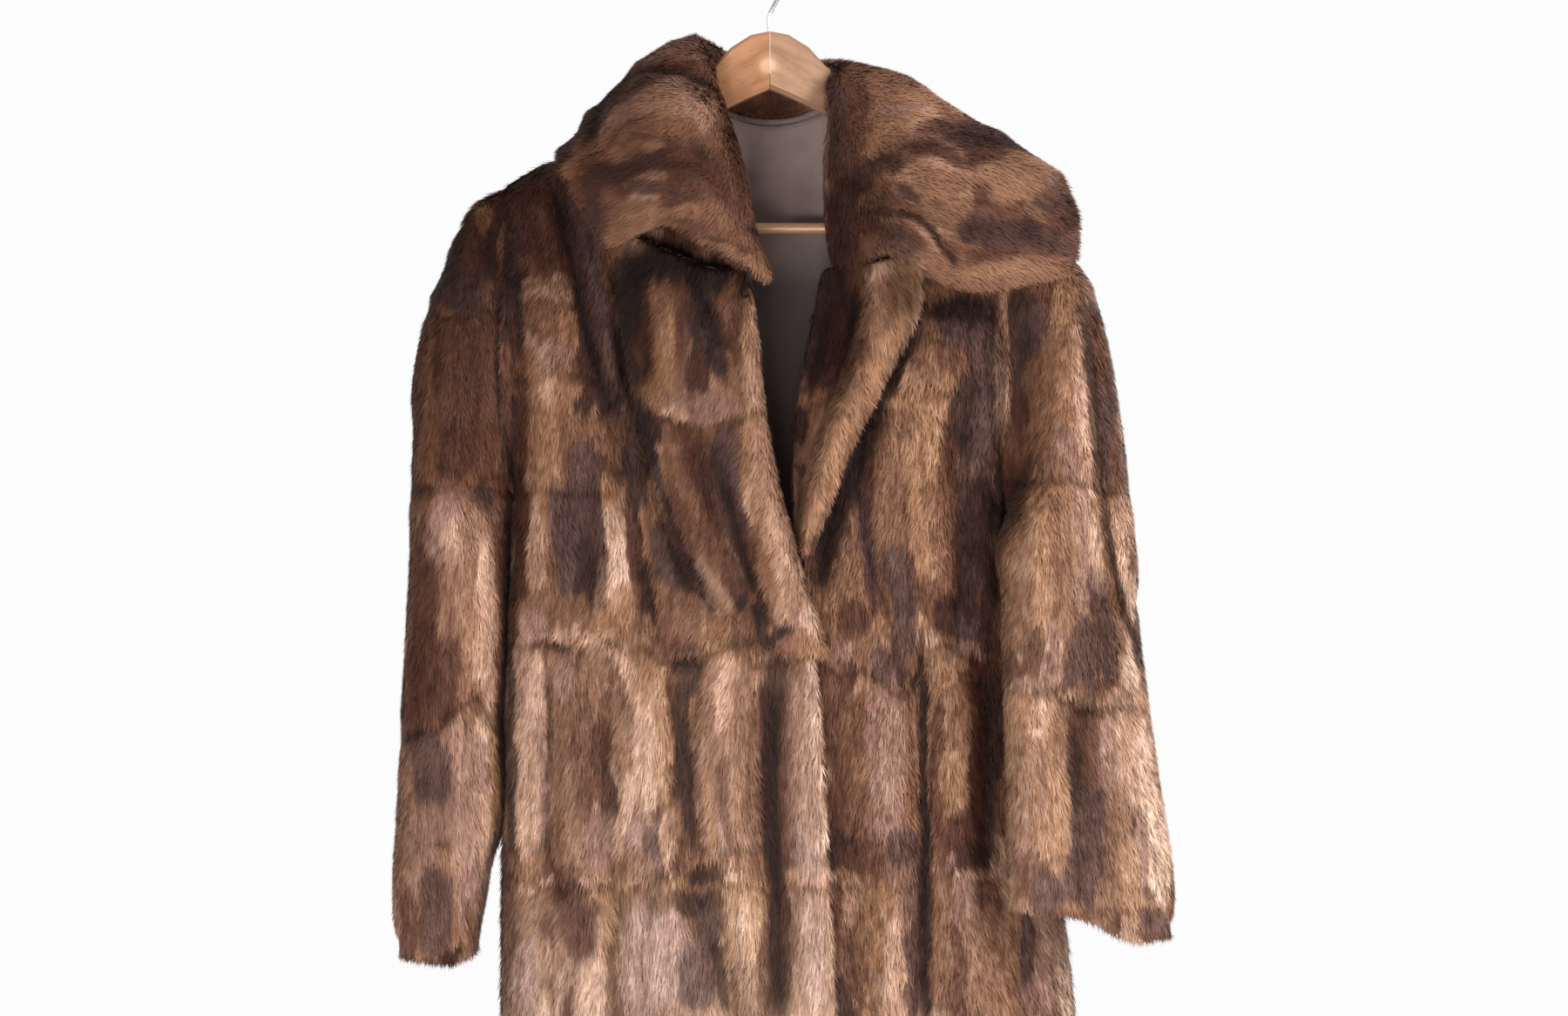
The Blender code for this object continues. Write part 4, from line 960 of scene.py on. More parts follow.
BACK_CREASES = read_rows(Crease, """
back
    24 4.4: 640,330 655,480 650,640 662,800
    30 -3.4: 700,420 706,600 712,760 704,900 716,1100
    22 4: 762,360 770,520 764,700 772,880 766,1040 778,1190
    34 -3: 826,500 822,700 832,900 826,1190
    20 4.6: 884,260 880,440 890,620 884,800 892,980 888,1190
    30 -3.2: 946,460 940,660 950,860 944,1190
    24 4: 1010,330 1004,500 1014,700 1006,900 1016,1190
    26 -2.8: 1070,420 1076,600 1066,820 1078,1190
    20 3.6: 1120,340 1126,500 1118,700 1130,900 1128,1190
    22 3.4: 604,700 612,860 606,1000 614,1190
sleeve_right
    16 3: 500,420 506,560 496,700 500,860
    20 -2.4: 540,480 536,640 530,820 520,1000
sleeve_left
    16 3: 1230,420 1240,560 1250,720 1256,900
    20 -2.4: 1190,480 1200,640 1206,820 1210,980
collar
    20 2.6: 760,130 740,200 736,270
    20 2.6: 880,100 884,200 880,280
    20 2.6: 1010,120 1030,200 1040,290
""")
BELL_REACH = 1.5
END_FADE = 0.16


def line_distance(places, line):
    """Distance from places on the sheet to a line, and how far along it they are, from 0 to 1."""
    knots = np.array(line, float)
    steps = np.linalg.norm(np.diff(knots, axis=0), axis=1)
    starts = np.concatenate([[0], np.cumsum(steps)])
    best = np.full(len(places), np.inf)
    along = np.zeros(len(places))
    for k, (a, b) in enumerate(zip(knots, knots[1:])):
        t = np.clip(((places - a) @ (b - a)) / steps[k] ** 2, 0, 1)
        gap = np.linalg.norm(places - a - t[:, None] * (b - a), axis=1)
        nearer = gap < best
        best[nearer] = gap[nearer]
        along[nearer] = ((starts[k] + t * steps[k]) / starts[-1])[nearer]
    return best, along


def crease_depth(piece, places, rows):
    """How far the creases of a piece move its surface in, in metres, at places on the sheet."""
    depth = np.zeros(len(places))
    for row in rows.get(piece, ()):
        gap, along = line_distance(places, row.line)
        bell = np.clip(1 - (gap / (row.width * BELL_REACH)) ** 2, 0, None) ** 2
        depth += 0.001 * row.depth * bell * ease(0, END_FADE, along) * ease(1, 1 - END_FADE, along)
    return depth


def fold_depth(piece, points, front, seams=0):
    """How deep a piece lies at points: folds and seams on its front, the back's folds behind."""
    depth = (crease_depth(piece, on_sheet(points), CREASES) + seams) * front
    return depth + crease_depth(piece, straight_on(points), BACK_CREASES) * (1 - front)


print("creases:", {piece: len(rows) for piece, rows in CREASES.items()})

# %% [markdown]
# ## Seams between the pelts
# Pelts are sewn edge to edge in rows, and a coat that has been worn shows it: the seam sinks, the fur
# above it stands up and catches the light, and the fur below it starts in shade. The sinking is in the
# shell; the light and the shade are painted into the colour, as a pale ledge of painted highlight and a
# painted shade. A row is how strong its pale ledge is, how strong its shade, and a line.

# %% Seams
Seam = namedtuple("Seam", "ledge shade line")
SEAMS = read_rows(Seam, """
front_right
    0.5 0.7: 585,318 604,326 630,320 662,326 672,322
    0.6 0.6: 584,372 604,366 626,378 655,372
    0.7 0.8: 586,430 612,432 640,420 668,430 690,436
    0.5 0.6: 700,470 728,492 748,480
    0.4 0.7: 582,552 606,560 640,560 664,566 700,560
    0.9 0.9: 584,732 612,738 640,734 656,756 676,742 700,734
    0.9 0.9: 700,734 722,744 740,738 762,758 800,752 828,744
    0.9 0.9: 828,744 838,736 856,744 868,762 900,756 936,748
    0.9 0.8: 584,1000 604,1010 632,1012 664,1022 690,1012
    0.9 0.8: 690,1012 720,1022 760,1006 780,998 792,1012 808,1034
    0.8 0.8: 808,1034 826,1008 858,1012 884,1024 905,1012 948,1016
    0.1 0.9: 597,320 600,380 592,440 588,560
    0.1 0.9: 630,745 632,860 630,1000
    0.1 0.6: 702,750 698,860 704,1010
    0.1 1: 768,764 776,860 772,940 776,1004
    0.1 0.7: 806,764 802,880 808,1000
    0.1 0.8: 736,640 750,690 764,750
    0.1 0.8: 712,1030 702,1100 696,1180
    0.1 0.9: 826,1020 836,1090 850,1180
    0.1 0.5: 640,450 654,520 640,600 628,720
    0.1 0.6: 700,470 712,560 730,650
lapel_right
    0.8 0.7: 750,470 780,480 812,490 838,480 872,470
    0.1 0.7: 800,480 806,540 826,620 850,690
lapel_left
    0.9 0.8: 900,460 926,470 946,458 975,474
    0.1 0.7: 986,262 984,330 976,400 950,450
front_left
    0.8 0.8: 1002,462 1030,470 1052,452 1078,444 1104,452 1142,440
    0.9 0.9: 940,752 962,770 990,764 1012,780 1034,796 1048,784
    0.9 0.9: 1050,782 1064,738 1086,736 1110,752 1146,760
    0.7 0.7: 950,1010 984,1016 1012,1012 1036,1020 1058,1010
    0.7 0.7: 1066,990 1090,986 1116,996 1146,988
    0.1 0.8: 996,480 986,560 1000,640 1024,720 1036,780
    0.1 0.8: 1090,460 1092,560 1096,660 1100,740
    0.1 0.8: 1062,790 1064,900 1062,1000 1068,1166
    0.1 0.5: 1036,480 1030,560 1016,640
    0.3 0.5: 1092,1000 1096,1030 1094,1060
    0.1 0.5: 1006,1020 1010,1090 1004,1166
sleeve_right
    0.8 0.7: 492,356 520,364 548,350 582,356
    0.7 0.8: 468,556 500,558 530,548 556,556 580,566
    0.9 0.9: 452,846 478,838 502,836 516,818 532,804 550,798 568,836
    0.1 0.5: 494,600 516,660 520,760 512,820
    0.1 0.5: 506,370 500,450 506,540
sleeve_left
    0.7 0.7: 1150,548 1186,552 1216,544 1244,552 1266,562 1302,560
    0.9 0.9: 1148,786 1176,790 1208,786 1220,800 1250,812 1300,806
    0.6 0.6: 1222,500 1240,520 1252,512
    0.1 0.7: 1218,800 1236,860 1234,930 1240,1040
    0.1 0.5: 1200,560 1212,660 1206,780
collar
    0.3 0.8: 752,128 720,146 700,170 672,190
    0.3 0.6: 836,130 846,180 850,240
    0.2 0.8: 1000,186 1030,170 1100,152 1180,168
    0.2 0.6: 1040,236 1090,226 1150,232 1226,234
""")
SEAM_SINK = 0.0014
SEAM_REACH = 7.0


def seam_sink(piece, places):
    """How far the seams of a piece pull its surface in, at places on the sheet."""
    depth = np.zeros(len(places))
    for row in SEAMS.get(piece, ()):
        gap, _ = line_distance(places, row.line)
        depth = np.maximum(depth, SEAM_SINK * row.shade * np.exp(-((gap / SEAM_REACH) ** 2)))
    return depth


print("seams:", {piece: len(rows) for piece, rows in SEAMS.items()})

# %% [markdown]
# ## Sleeves against the coat, and puffs
# Three small moves make the packed walls look sewn. A sleeve's hidden side leans on the coat, its top
# rim is drawn in at the armhole, and fur puffs out, or a corner sinks, where the plain pattern is too
# straight. Each is a smooth move of places near a line, so nothing tears.

# %% Tucks, armholes and swells
Tuck = namedtuple("Tuck", "way top bottom")
TUCKS = {"sleeve_right": Tuck(0.010, 556, 965), "sleeve_left": Tuck(-0.008, 520, 660)}
TUCK_FADE = 30


def tuck_share(piece, points, outward):
    """How much of a sleeve's hidden side leans on the coat at a place, from 0 to 1."""
    if piece not in TUCKS:
        return np.zeros(len(points))
    row = TUCKS[piece]
    down = on_sheet(points)[:, 1]
    level = ease(row.top - TUCK_FADE, row.top + 10, down)
    level = level * ease(row.bottom + TUCK_FADE, row.bottom - 40, down)
    inner = ease(0.1, 0.7, outward[:, 0] * math.copysign(1, row.way))
    return level * inner * ease(-0.75, -0.1, outward[:, 1])


def tuck(piece, points, outward):
    """How far a sleeve's hidden side moves across, against the coat's side."""
    return TUCKS[piece].way * tuck_share(piece, points, outward) if piece in TUCKS else 0


ARMHOLES = {"sleeve_right": (582, 1), "sleeve_left": (1155, -1)}
ARMHOLE_PULL = 0.0042


def close_armhole(piece, places):
    """How far a sleeve's top rim moves across, as the armhole seam draws it in."""
    if piece not in ARMHOLES:
        return 0
    line, way = ARMHOLES[piece]
    across, down = places.T
    inward = (across - line) * way
    near = ease(-24, -4, inward) * ease(32, 14, inward)
    return ARMHOLE_PULL * way * near * ease(170, 200, down) * ease(600, 552, down)


Swell = namedtuple("Swell", "reach right up line")
SWELLS = read_rows(Swell, """
sleeve_right front_right back
    48 -4 12: 534,288 560,254 600,224 618,212
sleeve_right
    42 -8 2: 502,345 490,390 482,450
sleeve_left
    44 12 0: 1240,330 1264,480 1278,650
collar
    38 -6 9: 688,126 704,106 720,90
    42 -2 6: 746,68 770,56
    36 4 13: 812,60 820,66
    52 -15 7: 958,92 958,93
    50 0 -10: 1080,116 1110,134
    56 -12 0: 1240,230 1244,270
    26 9 -3: 872,306 873,307
    34 0 6: 770,262 771,262
    26 -2 -8: 706,286 707,286
sleeve_left cuff_left
    88 0 23: 1150,1062 1222,1072
    46 -9 8: 1346,1084 1347,1084
sleeve_right cuff_right
    64 5 15: 450,1115 451,1115
    32 -3 -6: 530,1096 545,1092
""")


def swell(piece, places):
    """How far places of a piece move, in metres, by the rows' steps to the right and up."""
    move = np.zeros((len(places), 3))
    for row in SWELLS.get(piece, ()):
        gap, _ = line_distance(places, row.line)
        share = ease(1.0, 0.15, gap / row.reach) * STEP
        move[:, 0] += row.right * share
        move[:, 2] += row.up * share
    return move


print("swells:", {piece: len(rows) for piece, rows in SWELLS.items()})

# %% [markdown]
# ## Bending the shells
# The wall is moved in and out along the way its fur faces, both sides by the same amount, so it stays
# as thick as it was. The fur side is first let in by the depth of the pile, because hairs fill it up
# again.

# %% Shells
PILE_DEPTH = 0.0026
RIM_SPREAD = 0.0010
SLOW_WAVE = 0.0016
WAVE_STEPS = (0.045, 0.045, 0.11)
FUR_PIECES = "back front_right front_left sleeve_right sleeve_left collar lapel_right lapel_left".split()


def make_shell(piece):
    """The soft shell of a fur piece."""
    mesh = soft_copy(piece)
    fur_share, rim_share = side_shares(mesh)
    points = read_points(mesh)
    normals = read_normals(mesh)
    near, outward = facing_fur(mesh, fur_share)
    front = ease(0.25, -0.25, outward[:, 1])
    places = on_sheet(near)
    depth = fold_depth(piece, near, front, seam_sink(piece, places))
    depth += SLOW_WAVE * (uneven(other_lattice, near, WAVE_STEPS) - 0.5) * 2
    points = points - normals * (PILE_DEPTH * fur_share - RIM_SPREAD * rim_share)[:, None]
    points[:, 0] += tuck(piece, near, outward)
    points[:, 0] += close_armhole(piece, places)
    points = points + swell(piece, places)
    write_points(mesh, points - outward * depth[:, None])
    soften(mesh)
    return add_object("hide_" + piece, mesh)


shells = {piece: make_shell(piece) for piece in FUR_PIECES}
print("shell faces:", sum(len(shell.data.polygons) for shell in shells.values()))

# %% [markdown]
# ## Where each colour goes
# Pelts are narrow. Here each is pale down its middle and darker towards its edges, and a coat is rows
# of them, joined edge to edge. That rule colours every place that the chart doesn't cover, and throws
# three random spots on each pelt.

# %% Pelt rows
PELT_WIDE = 0.076
PELT_TALL = 0.152
SLEEVE_PELTS = 0.7
draws = np.random.default_rng(42).random((64, 64, 3))
RAMP = np.array([TONES[name] for name in "pale honey tan brown russet umber".split()])
SPOTS = np.array([TONES[name] for name in "pale rose umber honey plum tan umber pale".split()])
PELT_MIDDLE = 0.26
PELT_EDGE = 0.4
PELT_STREAK = 0.42
PELT_CHANCE = 0.62
SPOTS_PER_PELT = 3
SPOT_STRENGTH = 0.78
SEAM_SHADE = 0.0035
LEDGE_PLACE = 0.009
LEDGE_REACH = 0.004


def toward(colours, tones, shares):
    """Colours mixed with tones, by a share for each."""
    shares = shares[:, None]
    return colours * (1 - shares) + tones * shares


def along_ramp(value):
    """A tone from pale (0) to umber (1)."""
    spot = np.clip(value, 0, 0.9999) * (len(RAMP) - 1)
    low = np.floor(spot).astype(int)
    return toward(RAMP[low], RAMP[low + 1], spot - low)


def streaks(piece, points):
    """Long thin unevenness along the lie of the fur."""
    scale = (0.016, 0.012, 0.007) if piece == "collar" else (0.0042, 0.0042, 0.045)
    return uneven(lattice, points, scale)


def pelt_rows(piece, points, streak):
    """The plain rule's colour at points of a piece."""
    wander = uneven(other_lattice, points, 0.06) - 0.5
    wide = PELT_WIDE * (SLEEVE_PELTS if piece.startswith("sleeve") else 1.0)
    across = points[:, 0] / wide + 0.35 * wander
    column = np.floor(across).astype(int)
    from_middle = np.abs(across - column - 0.5) * 2
    down = -points[:, 2] / PELT_TALL + draws[column % 64, 3, 0] * 0.5 + 0.16 * wander
    row = np.floor(down).astype(int)
    chance = draws[column % 64, row % 64]
    dark = PELT_MIDDLE + PELT_EDGE * from_middle**1.4 + PELT_STREAK * (streak - 0.5)
    colour = along_ramp(dark + PELT_CHANCE * (chance[:, 0] - 0.5))
    for k in range(SPOTS_PER_PELT):
        place = draws[(column + 9 * k + 5) % 64, (row + 23 * k + 11) % 64]
        aside = (across - column - 0.12 - 0.76 * place[:, 0]) / (0.16 + 0.12 * chance[:, 1])
        along = (down - row - 0.16 - 0.68 * place[:, 1]) / (0.2 + 0.22 * chance[:, 2])
        share = ease(1.3, 0.5, np.hypot(aside, along) + 0.7 * (streak - 0.5)) * SPOT_STRENGTH
        colour = toward(colour, SPOTS[(place[:, 2] * len(SPOTS)).astype(int)], share)
    # Painted shade along each seam between rows, and a pale ledge of painted highlight near it.
    from_seam = np.minimum(down - row, row + 1 - down) * PELT_TALL
    shade = 1 - 0.5 * np.exp(-((from_seam / SEAM_SHADE) ** 2))
    ledge = np.exp(-(((down - row) * PELT_TALL - LEDGE_PLACE) / LEDGE_REACH) ** 2) * 0.5 * streak
    return colour * (shade + ledge)[:, None]


print("pelt rows", PELT_TALL, "m tall, in", len(RAMP), "tones")

# %% [markdown]
# ## Laying the chart over them
# The chart's patches and strokes are laid over the front, their edges pushed about by noise so that
# none looks drawn. A patch is a square with round corners: a higher power makes squarer ones. Where a
# piece has little contrast, all its tones are drawn a little towards one calm tone.

# %% Patches and strokes
WANDER_ACROSS = 5
WANDER_DOWN = 9
WANDER_STEP = 0.026
STROKE_WANDER = 3
STROKE_WANDER_STEP = 0.012
STREAK_WANDER = 14
COLLAR_STREAK_WANDER = 6
PATCH_STRENGTH = 0.92
Corners = namedtuple("Corners", "power outer inner")
PATCH_CORNERS = Corners(3.2, 1.18, 0.8)
SOFT_CORNERS = {
    "collar": Corners(2.0, 1.3, 0.6),
    "lapel_right": Corners(2.4, 1.25, 0.7),
    "lapel_left": Corners(2.4, 1.25, 0.7),
}
CALM = {
    "collar": [(60, 0.28), (300, 0.28)],
    "front_right": [(700, 0.08), (760, 0.14)],
    "front_left": [(700, 0.08), (760, 0.1)],
    "sleeve_left": [(500, 0.08), (700, 0.16)],
    "sleeve_right": [(500, 0.1), (600, 0.14)],
}


def lay_patches(piece, colour, points, streak, front):
    """Lays the chart's patches over colours."""
    places = on_sheet(points)
    places[:, 0] += WANDER_ACROSS * 2 * (uneven(lattice, points + 3.1, WANDER_STEP) - 0.5)
    places[:, 1] += WANDER_DOWN * 2 * (uneven(other_lattice, points + 5.7, WANDER_STEP) - 0.5)
    places[:, 1] += (COLLAR_STREAK_WANDER if piece == "collar" else STREAK_WANDER) * (streak - 0.5)
    power, outer, inner = SOFT_CORNERS.get(piece, PATCH_CORNERS)
    for row in patches_of(piece):
        turn = math.radians(row.lean if row.wide >= row.tall else -row.lean)
        span = 1.5 * max(row.wide, row.tall)
        near = np.nonzero((np.abs(places - (row.across, row.down)) < span).all(axis=1) & (front > 0))[0]
        gap = places[near] - (row.across, row.down)
        wide = (gap[:, 0] * math.cos(turn) - gap[:, 1] * math.sin(turn)) / row.wide
        tall = (gap[:, 0] * math.sin(turn) + gap[:, 1] * math.cos(turn)) / row.tall
        reach = (np.abs(wide) ** power + np.abs(tall) ** power) ** (1 / power)
        share = ease(outer, inner, reach) * front[near] * PATCH_STRENGTH
        colour[near] = toward(colour[near], row.tone, share)
    return colour


def lay_strokes(piece, colour, points, streak, front):
    """Lays the strokes over colours."""
    places = on_sheet(points)
    places[:, 0] += STROKE_WANDER * 2 * (uneven(lattice, points + 8.3, STROKE_WANDER_STEP) - 0.5)
    for row in STROKES.get(piece, ()):
        gap, along = line_distance(places, row.line)
        share = ease(1.5, 0.4, gap / row.width + 0.5 * (streak - 0.5)) * row.strength * front
        colour = toward(colour, row.tone, share * ease(0, 0.1, along) * ease(1, 0.9, along))
    return colour


def calm_down(piece, colour, points, front):
    """Draws a piece's colours a little towards one tone, by how far down they are."""
    stops, shares = zip(*CALM.get(piece, [(0, 0.0)]))
    share = np.interp(on_sheet(points)[:, 1], stops, shares) * front
    return toward(colour, TONES["brown" if piece == "collar" else "tan"], share)


print("calmed pieces:", ", ".join(CALM))

# %% [markdown]
# ## Light and shade in the pile
# Fur is darker where hairs part. In every fold it gets painted shade, and on ridges a painted
# highlight. These small things multiply the colour: streaks, a fine crackle of partings, folds and seams.
# Each piece also has a level, written as stops down the sheet, which makes most pieces darker towards
# the shoulders.

# %% Crackle, folds and levels
GRAIN = 1.5
FINE_GRAIN = 0.0034
LONG_GRAIN = (0.0026, 0.0026, 0.009)
PARTINGS = (0.0065, 0.0065, 0.015)
PARTING_WIDTH = 0.055
STREAK_LIGHT = 0.5
COLLAR_STREAK_LIGHT = 0.2
CRACKLE = {
    "front_left": 0.5,
    "front_right": 0.36,
    "sleeve_left": 0.42,
    "sleeve_right": 0.34,
    "back": 0.34,
    "lapel_right": 0.3,
    "lapel_left": 0.28,
    "collar": 0.14,
}
LEVELS = {
    "sleeve_right": [(200, 0.36), (380, 0.38), (545, 0.48), (590, 1.0), (760, 0.94), (1100, 0.88)],
    "sleeve_left": [(330, 0.66), (545, 0.74), (600, 0.88), (900, 1.08), (1060, 1.12)],
    "front_right": [(200, 0.38), (330, 0.46), (470, 0.64), (560, 0.74), (742, 0.86), (760, 1.08),
                    (1000, 1.1), (1030, 1.35), (1170, 1.4)],
    "front_left": [(330, 0.58), (480, 0.76), (740, 0.72), (1000, 0.7), (1100, 0.92)],
    "lapel_right": [(290, 0.46), (480, 0.54), (660, 0.68), (710, 0.9)],
    "lapel_left": [(300, 0.7), (600, 0.85)],
    "collar": [(60, 0.74), (300, 0.7)],
    "back": [(100, 0.7), (600, 0.85), (1100, 1.05)],
}
DEEP_FOLD = 0.007
TROUGH_SHADE = 0.62
RIDGE_LIGHT = 0.30


def tone_level(piece, points):
    """How light the pelts of a piece are at a height."""
    stops, shares = zip(*LEVELS[piece])
    level = np.interp(straight_on(points)[:, 1], stops, shares)
    if piece == "collar":
        level *= 0.84 + 0.2 * ease(0.0, 0.06, points[:, 0])
    return level


def crackle_light(piece, points):
    """Two fine grains, then dark partings where a slow noise crosses its middle."""
    strength = CRACKLE[piece]
    yield 1 + GRAIN * strength * (uneven(other_lattice, points, FINE_GRAIN) - 0.5)
    yield 1 + GRAIN * strength * (uneven(lattice, points + 1.7, LONG_GRAIN) - 0.5)
    vein = uneven(other_lattice, points + 0.9, PARTINGS)
    vein = vein + 0.2 * (uneven(lattice, points, 0.003) - 0.5)
    yield 1.06 - strength * ease(PARTING_WIDTH, 0.0, np.abs(vein - 0.5))


def fold_light(piece, points, front):
    """Painted highlight on ridges and painted shade in troughs, where the hairs shade each other."""
    depth = fold_depth(piece, points, front)
    return 1 - np.where(depth > 0, TROUGH_SHADE, RIDGE_LIGHT) * np.clip(depth / DEEP_FOLD, -1.0, 1.1)


SEAM_DARK = 0.6
SEAM_WIDTH = 4.5
LEDGE_LIGHT = 0.36
LEDGE_WIDTH = 5.0
LEDGE_ABOVE = (0, 7)


def seam_light(piece, places, wander, front):
    """Painted shade in each seam and a broken pale ledge of painted highlight above it."""
    light = np.ones(len(places))
    for row in SEAMS.get(piece, ()):
        below, _ = line_distance(places, row.line)
        above, _ = line_distance(places + LEDGE_ABOVE, row.line)
        shade = SEAM_DARK * row.shade * front * np.exp(-((below / SEAM_WIDTH) ** 2))
        light *= 1 - shade * (0.5 + wander)
        ledge = LEDGE_LIGHT * row.ledge * front * np.exp(-((above / LEDGE_WIDTH) ** 2))
        light += ledge * np.clip(wander * 2 - 0.4, 0, 1.4)
    return light


TUCK_SHADE = 0.7
CRUMB = 0.006
CRUMB_SHIFT = 10
DARK_RICHNESS = 0.45
LIGHT_RICHNESS = 0.3


def pelt_colour(piece, points, outward):
    """The fur's colour at points of a piece, given the way its fur faces there."""
    streak = streaks(piece, points)
    front = ease(0.45, 0.0, outward[:, 1])
    colour = pelt_rows(piece, points, streak)
    colour = lay_patches(piece, colour, points, streak, front)
    colour = lay_strokes(piece, colour, points, streak, front)
    colour = calm_down(piece, colour, points, front)
    light = 1 + (COLLAR_STREAK_LIGHT if piece == "collar" else STREAK_LIGHT) * (streak - 0.5)
    for crackle in crackle_light(piece, points):
        light *= crackle
    light *= fold_light(piece, points, front)
    # Painted shade where a sleeve's hidden side leans on the coat.
    light *= 1 - TUCK_SHADE * tuck_share(piece, points, outward)
    crumbs = uneven(other_lattice, points, CRUMB)
    places = on_sheet(points) + CRUMB_SHIFT * (crumbs[:, None] - 0.5)
    light *= seam_light(piece, places, crumbs, front)
    level = tone_level(piece, points)
    grey = colour.mean(axis=1, keepdims=True)
    richness = 1 + DARK_RICHNESS * (1 - level) - LIGHT_RICHNESS * (light - 1)
    return grey * (colour / grey) ** richness[:, None] * (light * level)[:, None]


def paint(mesh, colours):
    """Stores a colour for each vertex."""
    layer = mesh.color_attributes.new(PAINT, "FLOAT_COLOR", "POINT")
    full = np.ones((len(mesh.vertices), 4), np.float32)
    full[:, :3] = colours
    layer.data.foreach_set("color", full.ravel())


print("pieces with a level:", ", ".join(LEVELS))


# %% Painted shells
ROOT_SHADE = 0.75


def paint_shell(piece, mesh):
    """Colours a shell as the roots of its hairs, darker than their tips by painted shade."""
    fur_share, _ = side_shares(mesh)
    near, outward = facing_fur(mesh, fur_share)
    paint(mesh, pelt_colour(piece, near, outward) * ROOT_SHADE)
    for finish in (under_finish, satin, under_finish):
        mesh.materials.append(finish.material)


for piece, shell in shells.items():
    paint_shell(piece, shell.data)
print("painted", len(shells), "shells")

# %% [markdown]
# ## Planting the hairs
# Hair curves are heavy and don't export. A single slim triangle does the work of a small tuft: its base
# is about a millimetre wide and its tip leans along the nap. Each carries the normal of the surface it
# grows on, turned a little at random, so the pile shades as one soft coat and not as loose blades.
# Nearby tips drift together, as real fur gathers into locks.

# %% The lie of the fur
Pile = namedtuple("Pile", "per_square_mm length lift")
PILES = {
    "front_right": Pile(0.46, 0.0082, 19),
    "front_left": Pile(0.46, 0.0082, 19),
    "sleeve_right": Pile(0.70, 0.0080, 19),
    "sleeve_left": Pile(0.70, 0.0080, 19),
    "back": Pile(0.26, 0.0115, 18),
    "collar": Pile(0.84, 0.0066, 21),
    "lapel_right": Pile(0.80, 0.0077, 20),
    "lapel_left": Pile(0.80, 0.0077, 20),
}
LAPEL_LEAN = {"lapel_right": -0.35, "lapel_left": 0.35}
SWAY = 0.7
SWAY_STEP = 0.055
COLLAR_MIDDLE = 0.01
COLLAR_TURN = 0.09
COLLAR_BACK = 0.02


def nap(piece, points):
    """The way the hairs lie at points, before they are laid on the surface."""
    down = np.tile((0.0, 0.0, -1.0), (len(points), 1))
    if piece == "collar":
        down[:, 0] = np.clip((points[:, 0] - COLLAR_MIDDLE) / COLLAR_TURN, -1, 1) * 1.5
        down[:, 1] = np.where(points[:, 1] > COLLAR_BACK, 0.3, -0.1)
    down[:, 0] += LAPEL_LEAN.get(piece, 0)
    down[:, 0] += SWAY * (uneven(lattice, points + 1.7, SWAY_STEP) - 0.5)
    return down


def unit(vectors):
    return vectors / np.maximum(np.linalg.norm(vectors, axis=1, keepdims=True), 1e-9)


def scatter(mesh, per_square_mm, rng):
    """Even random places on a mesh's fur side and rim: points and normals."""
    mesh.calc_loop_triangles()
    corners = read(mesh.loop_triangles, "vertices", np.int32, 3)
    owner = read(mesh.loop_triangles, "polygon_index", np.int32)
    corners = corners[read_sides(mesh)[owner] != HIDE_SIDE]
    points = read_points(mesh)[corners]
    normals = read_normals(mesh)[corners]
    areas = np.linalg.norm(np.cross(points[:, 1] - points[:, 0], points[:, 2] - points[:, 0]), axis=1) / 2
    total = areas.sum()
    hairs = int(total * 1e6 * per_square_mm)
    steps = (np.arange(hairs) + rng.random(hairs)) / hairs * total * 0.999999
    picks = np.searchsorted(np.cumsum(areas), steps)
    a, b = rng.random((2, hairs))
    flip = a + b > 1
    a[flip], b[flip] = 1 - a[flip], 1 - b[flip]
    shares = np.stack([1 - a - b, a, b], axis=1)[:, :, None]
    return (points[picks] * shares).sum(axis=1), unit((normals[picks] * shares).sum(axis=1))


print("piles:", ", ".join(f"{piece} {pile.length * 1000:.1f} mm" for piece, pile in PILES.items()))


# %% Blades and their map
def blades(name, corners):
    """A mesh of loose triangles from their corners."""
    mesh = bpy.data.meshes.new(name)
    mesh.vertices.add(len(corners) * 3)
    mesh.vertices.foreach_set("co", corners.ravel())
    mesh.loops.add(len(corners) * 3)
    mesh.loops.foreach_set("vertex_index", np.arange(len(corners) * 3, dtype=np.int32))
    mesh.polygons.add(len(corners))
    mesh.polygons.foreach_set("loop_start", np.arange(0, len(corners) * 3, 3, dtype=np.int32))
    mesh.update()
    return mesh


MAP_EDGE = 0.01
MAP_HALF = 0.48
MAP_BLADE = np.array([[0, 0], [0.0006, 0], [0.0003, -0.0015]])


def lay_flat(mesh, piece, roots, normals):
    """A map for baking: each hair is a small triangle at its root's place, the front beside the back."""
    low, high = np.array(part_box(piece))
    share = np.clip((roots - low) / (high - low), 0, 1)
    u = MAP_EDGE + MAP_HALF * share[:, 0] + 0.5 * (normals[:, 1] > 0)
    v = MAP_EDGE + (1 - 2 * MAP_EDGE) * share[:, 2]
    flat = np.stack([u, v], axis=1)[:, None, :] + MAP_BLADE
    layer = mesh.uv_layers.new(name="OFBake")
    layer.data.foreach_set("uv", flat.astype(np.float32).ravel())


print("a blade on the map:", MAP_BLADE.tolist())


# %% Planting
BLADE = 0.00112
LOCK = 0.0085
LOCK_TURN = 0.36
HAIR_TURN = 0.15
LOCK_LIFT = 0.5
HAIR_LIFT = 0.22
BLADE_TWIST = 0.45
NORMAL_TURN = 0.18
NORMAL_LEAN = 0.12
ROOT_AND_TIP = np.array([0.78, 0.78, 1.1])[:, None]


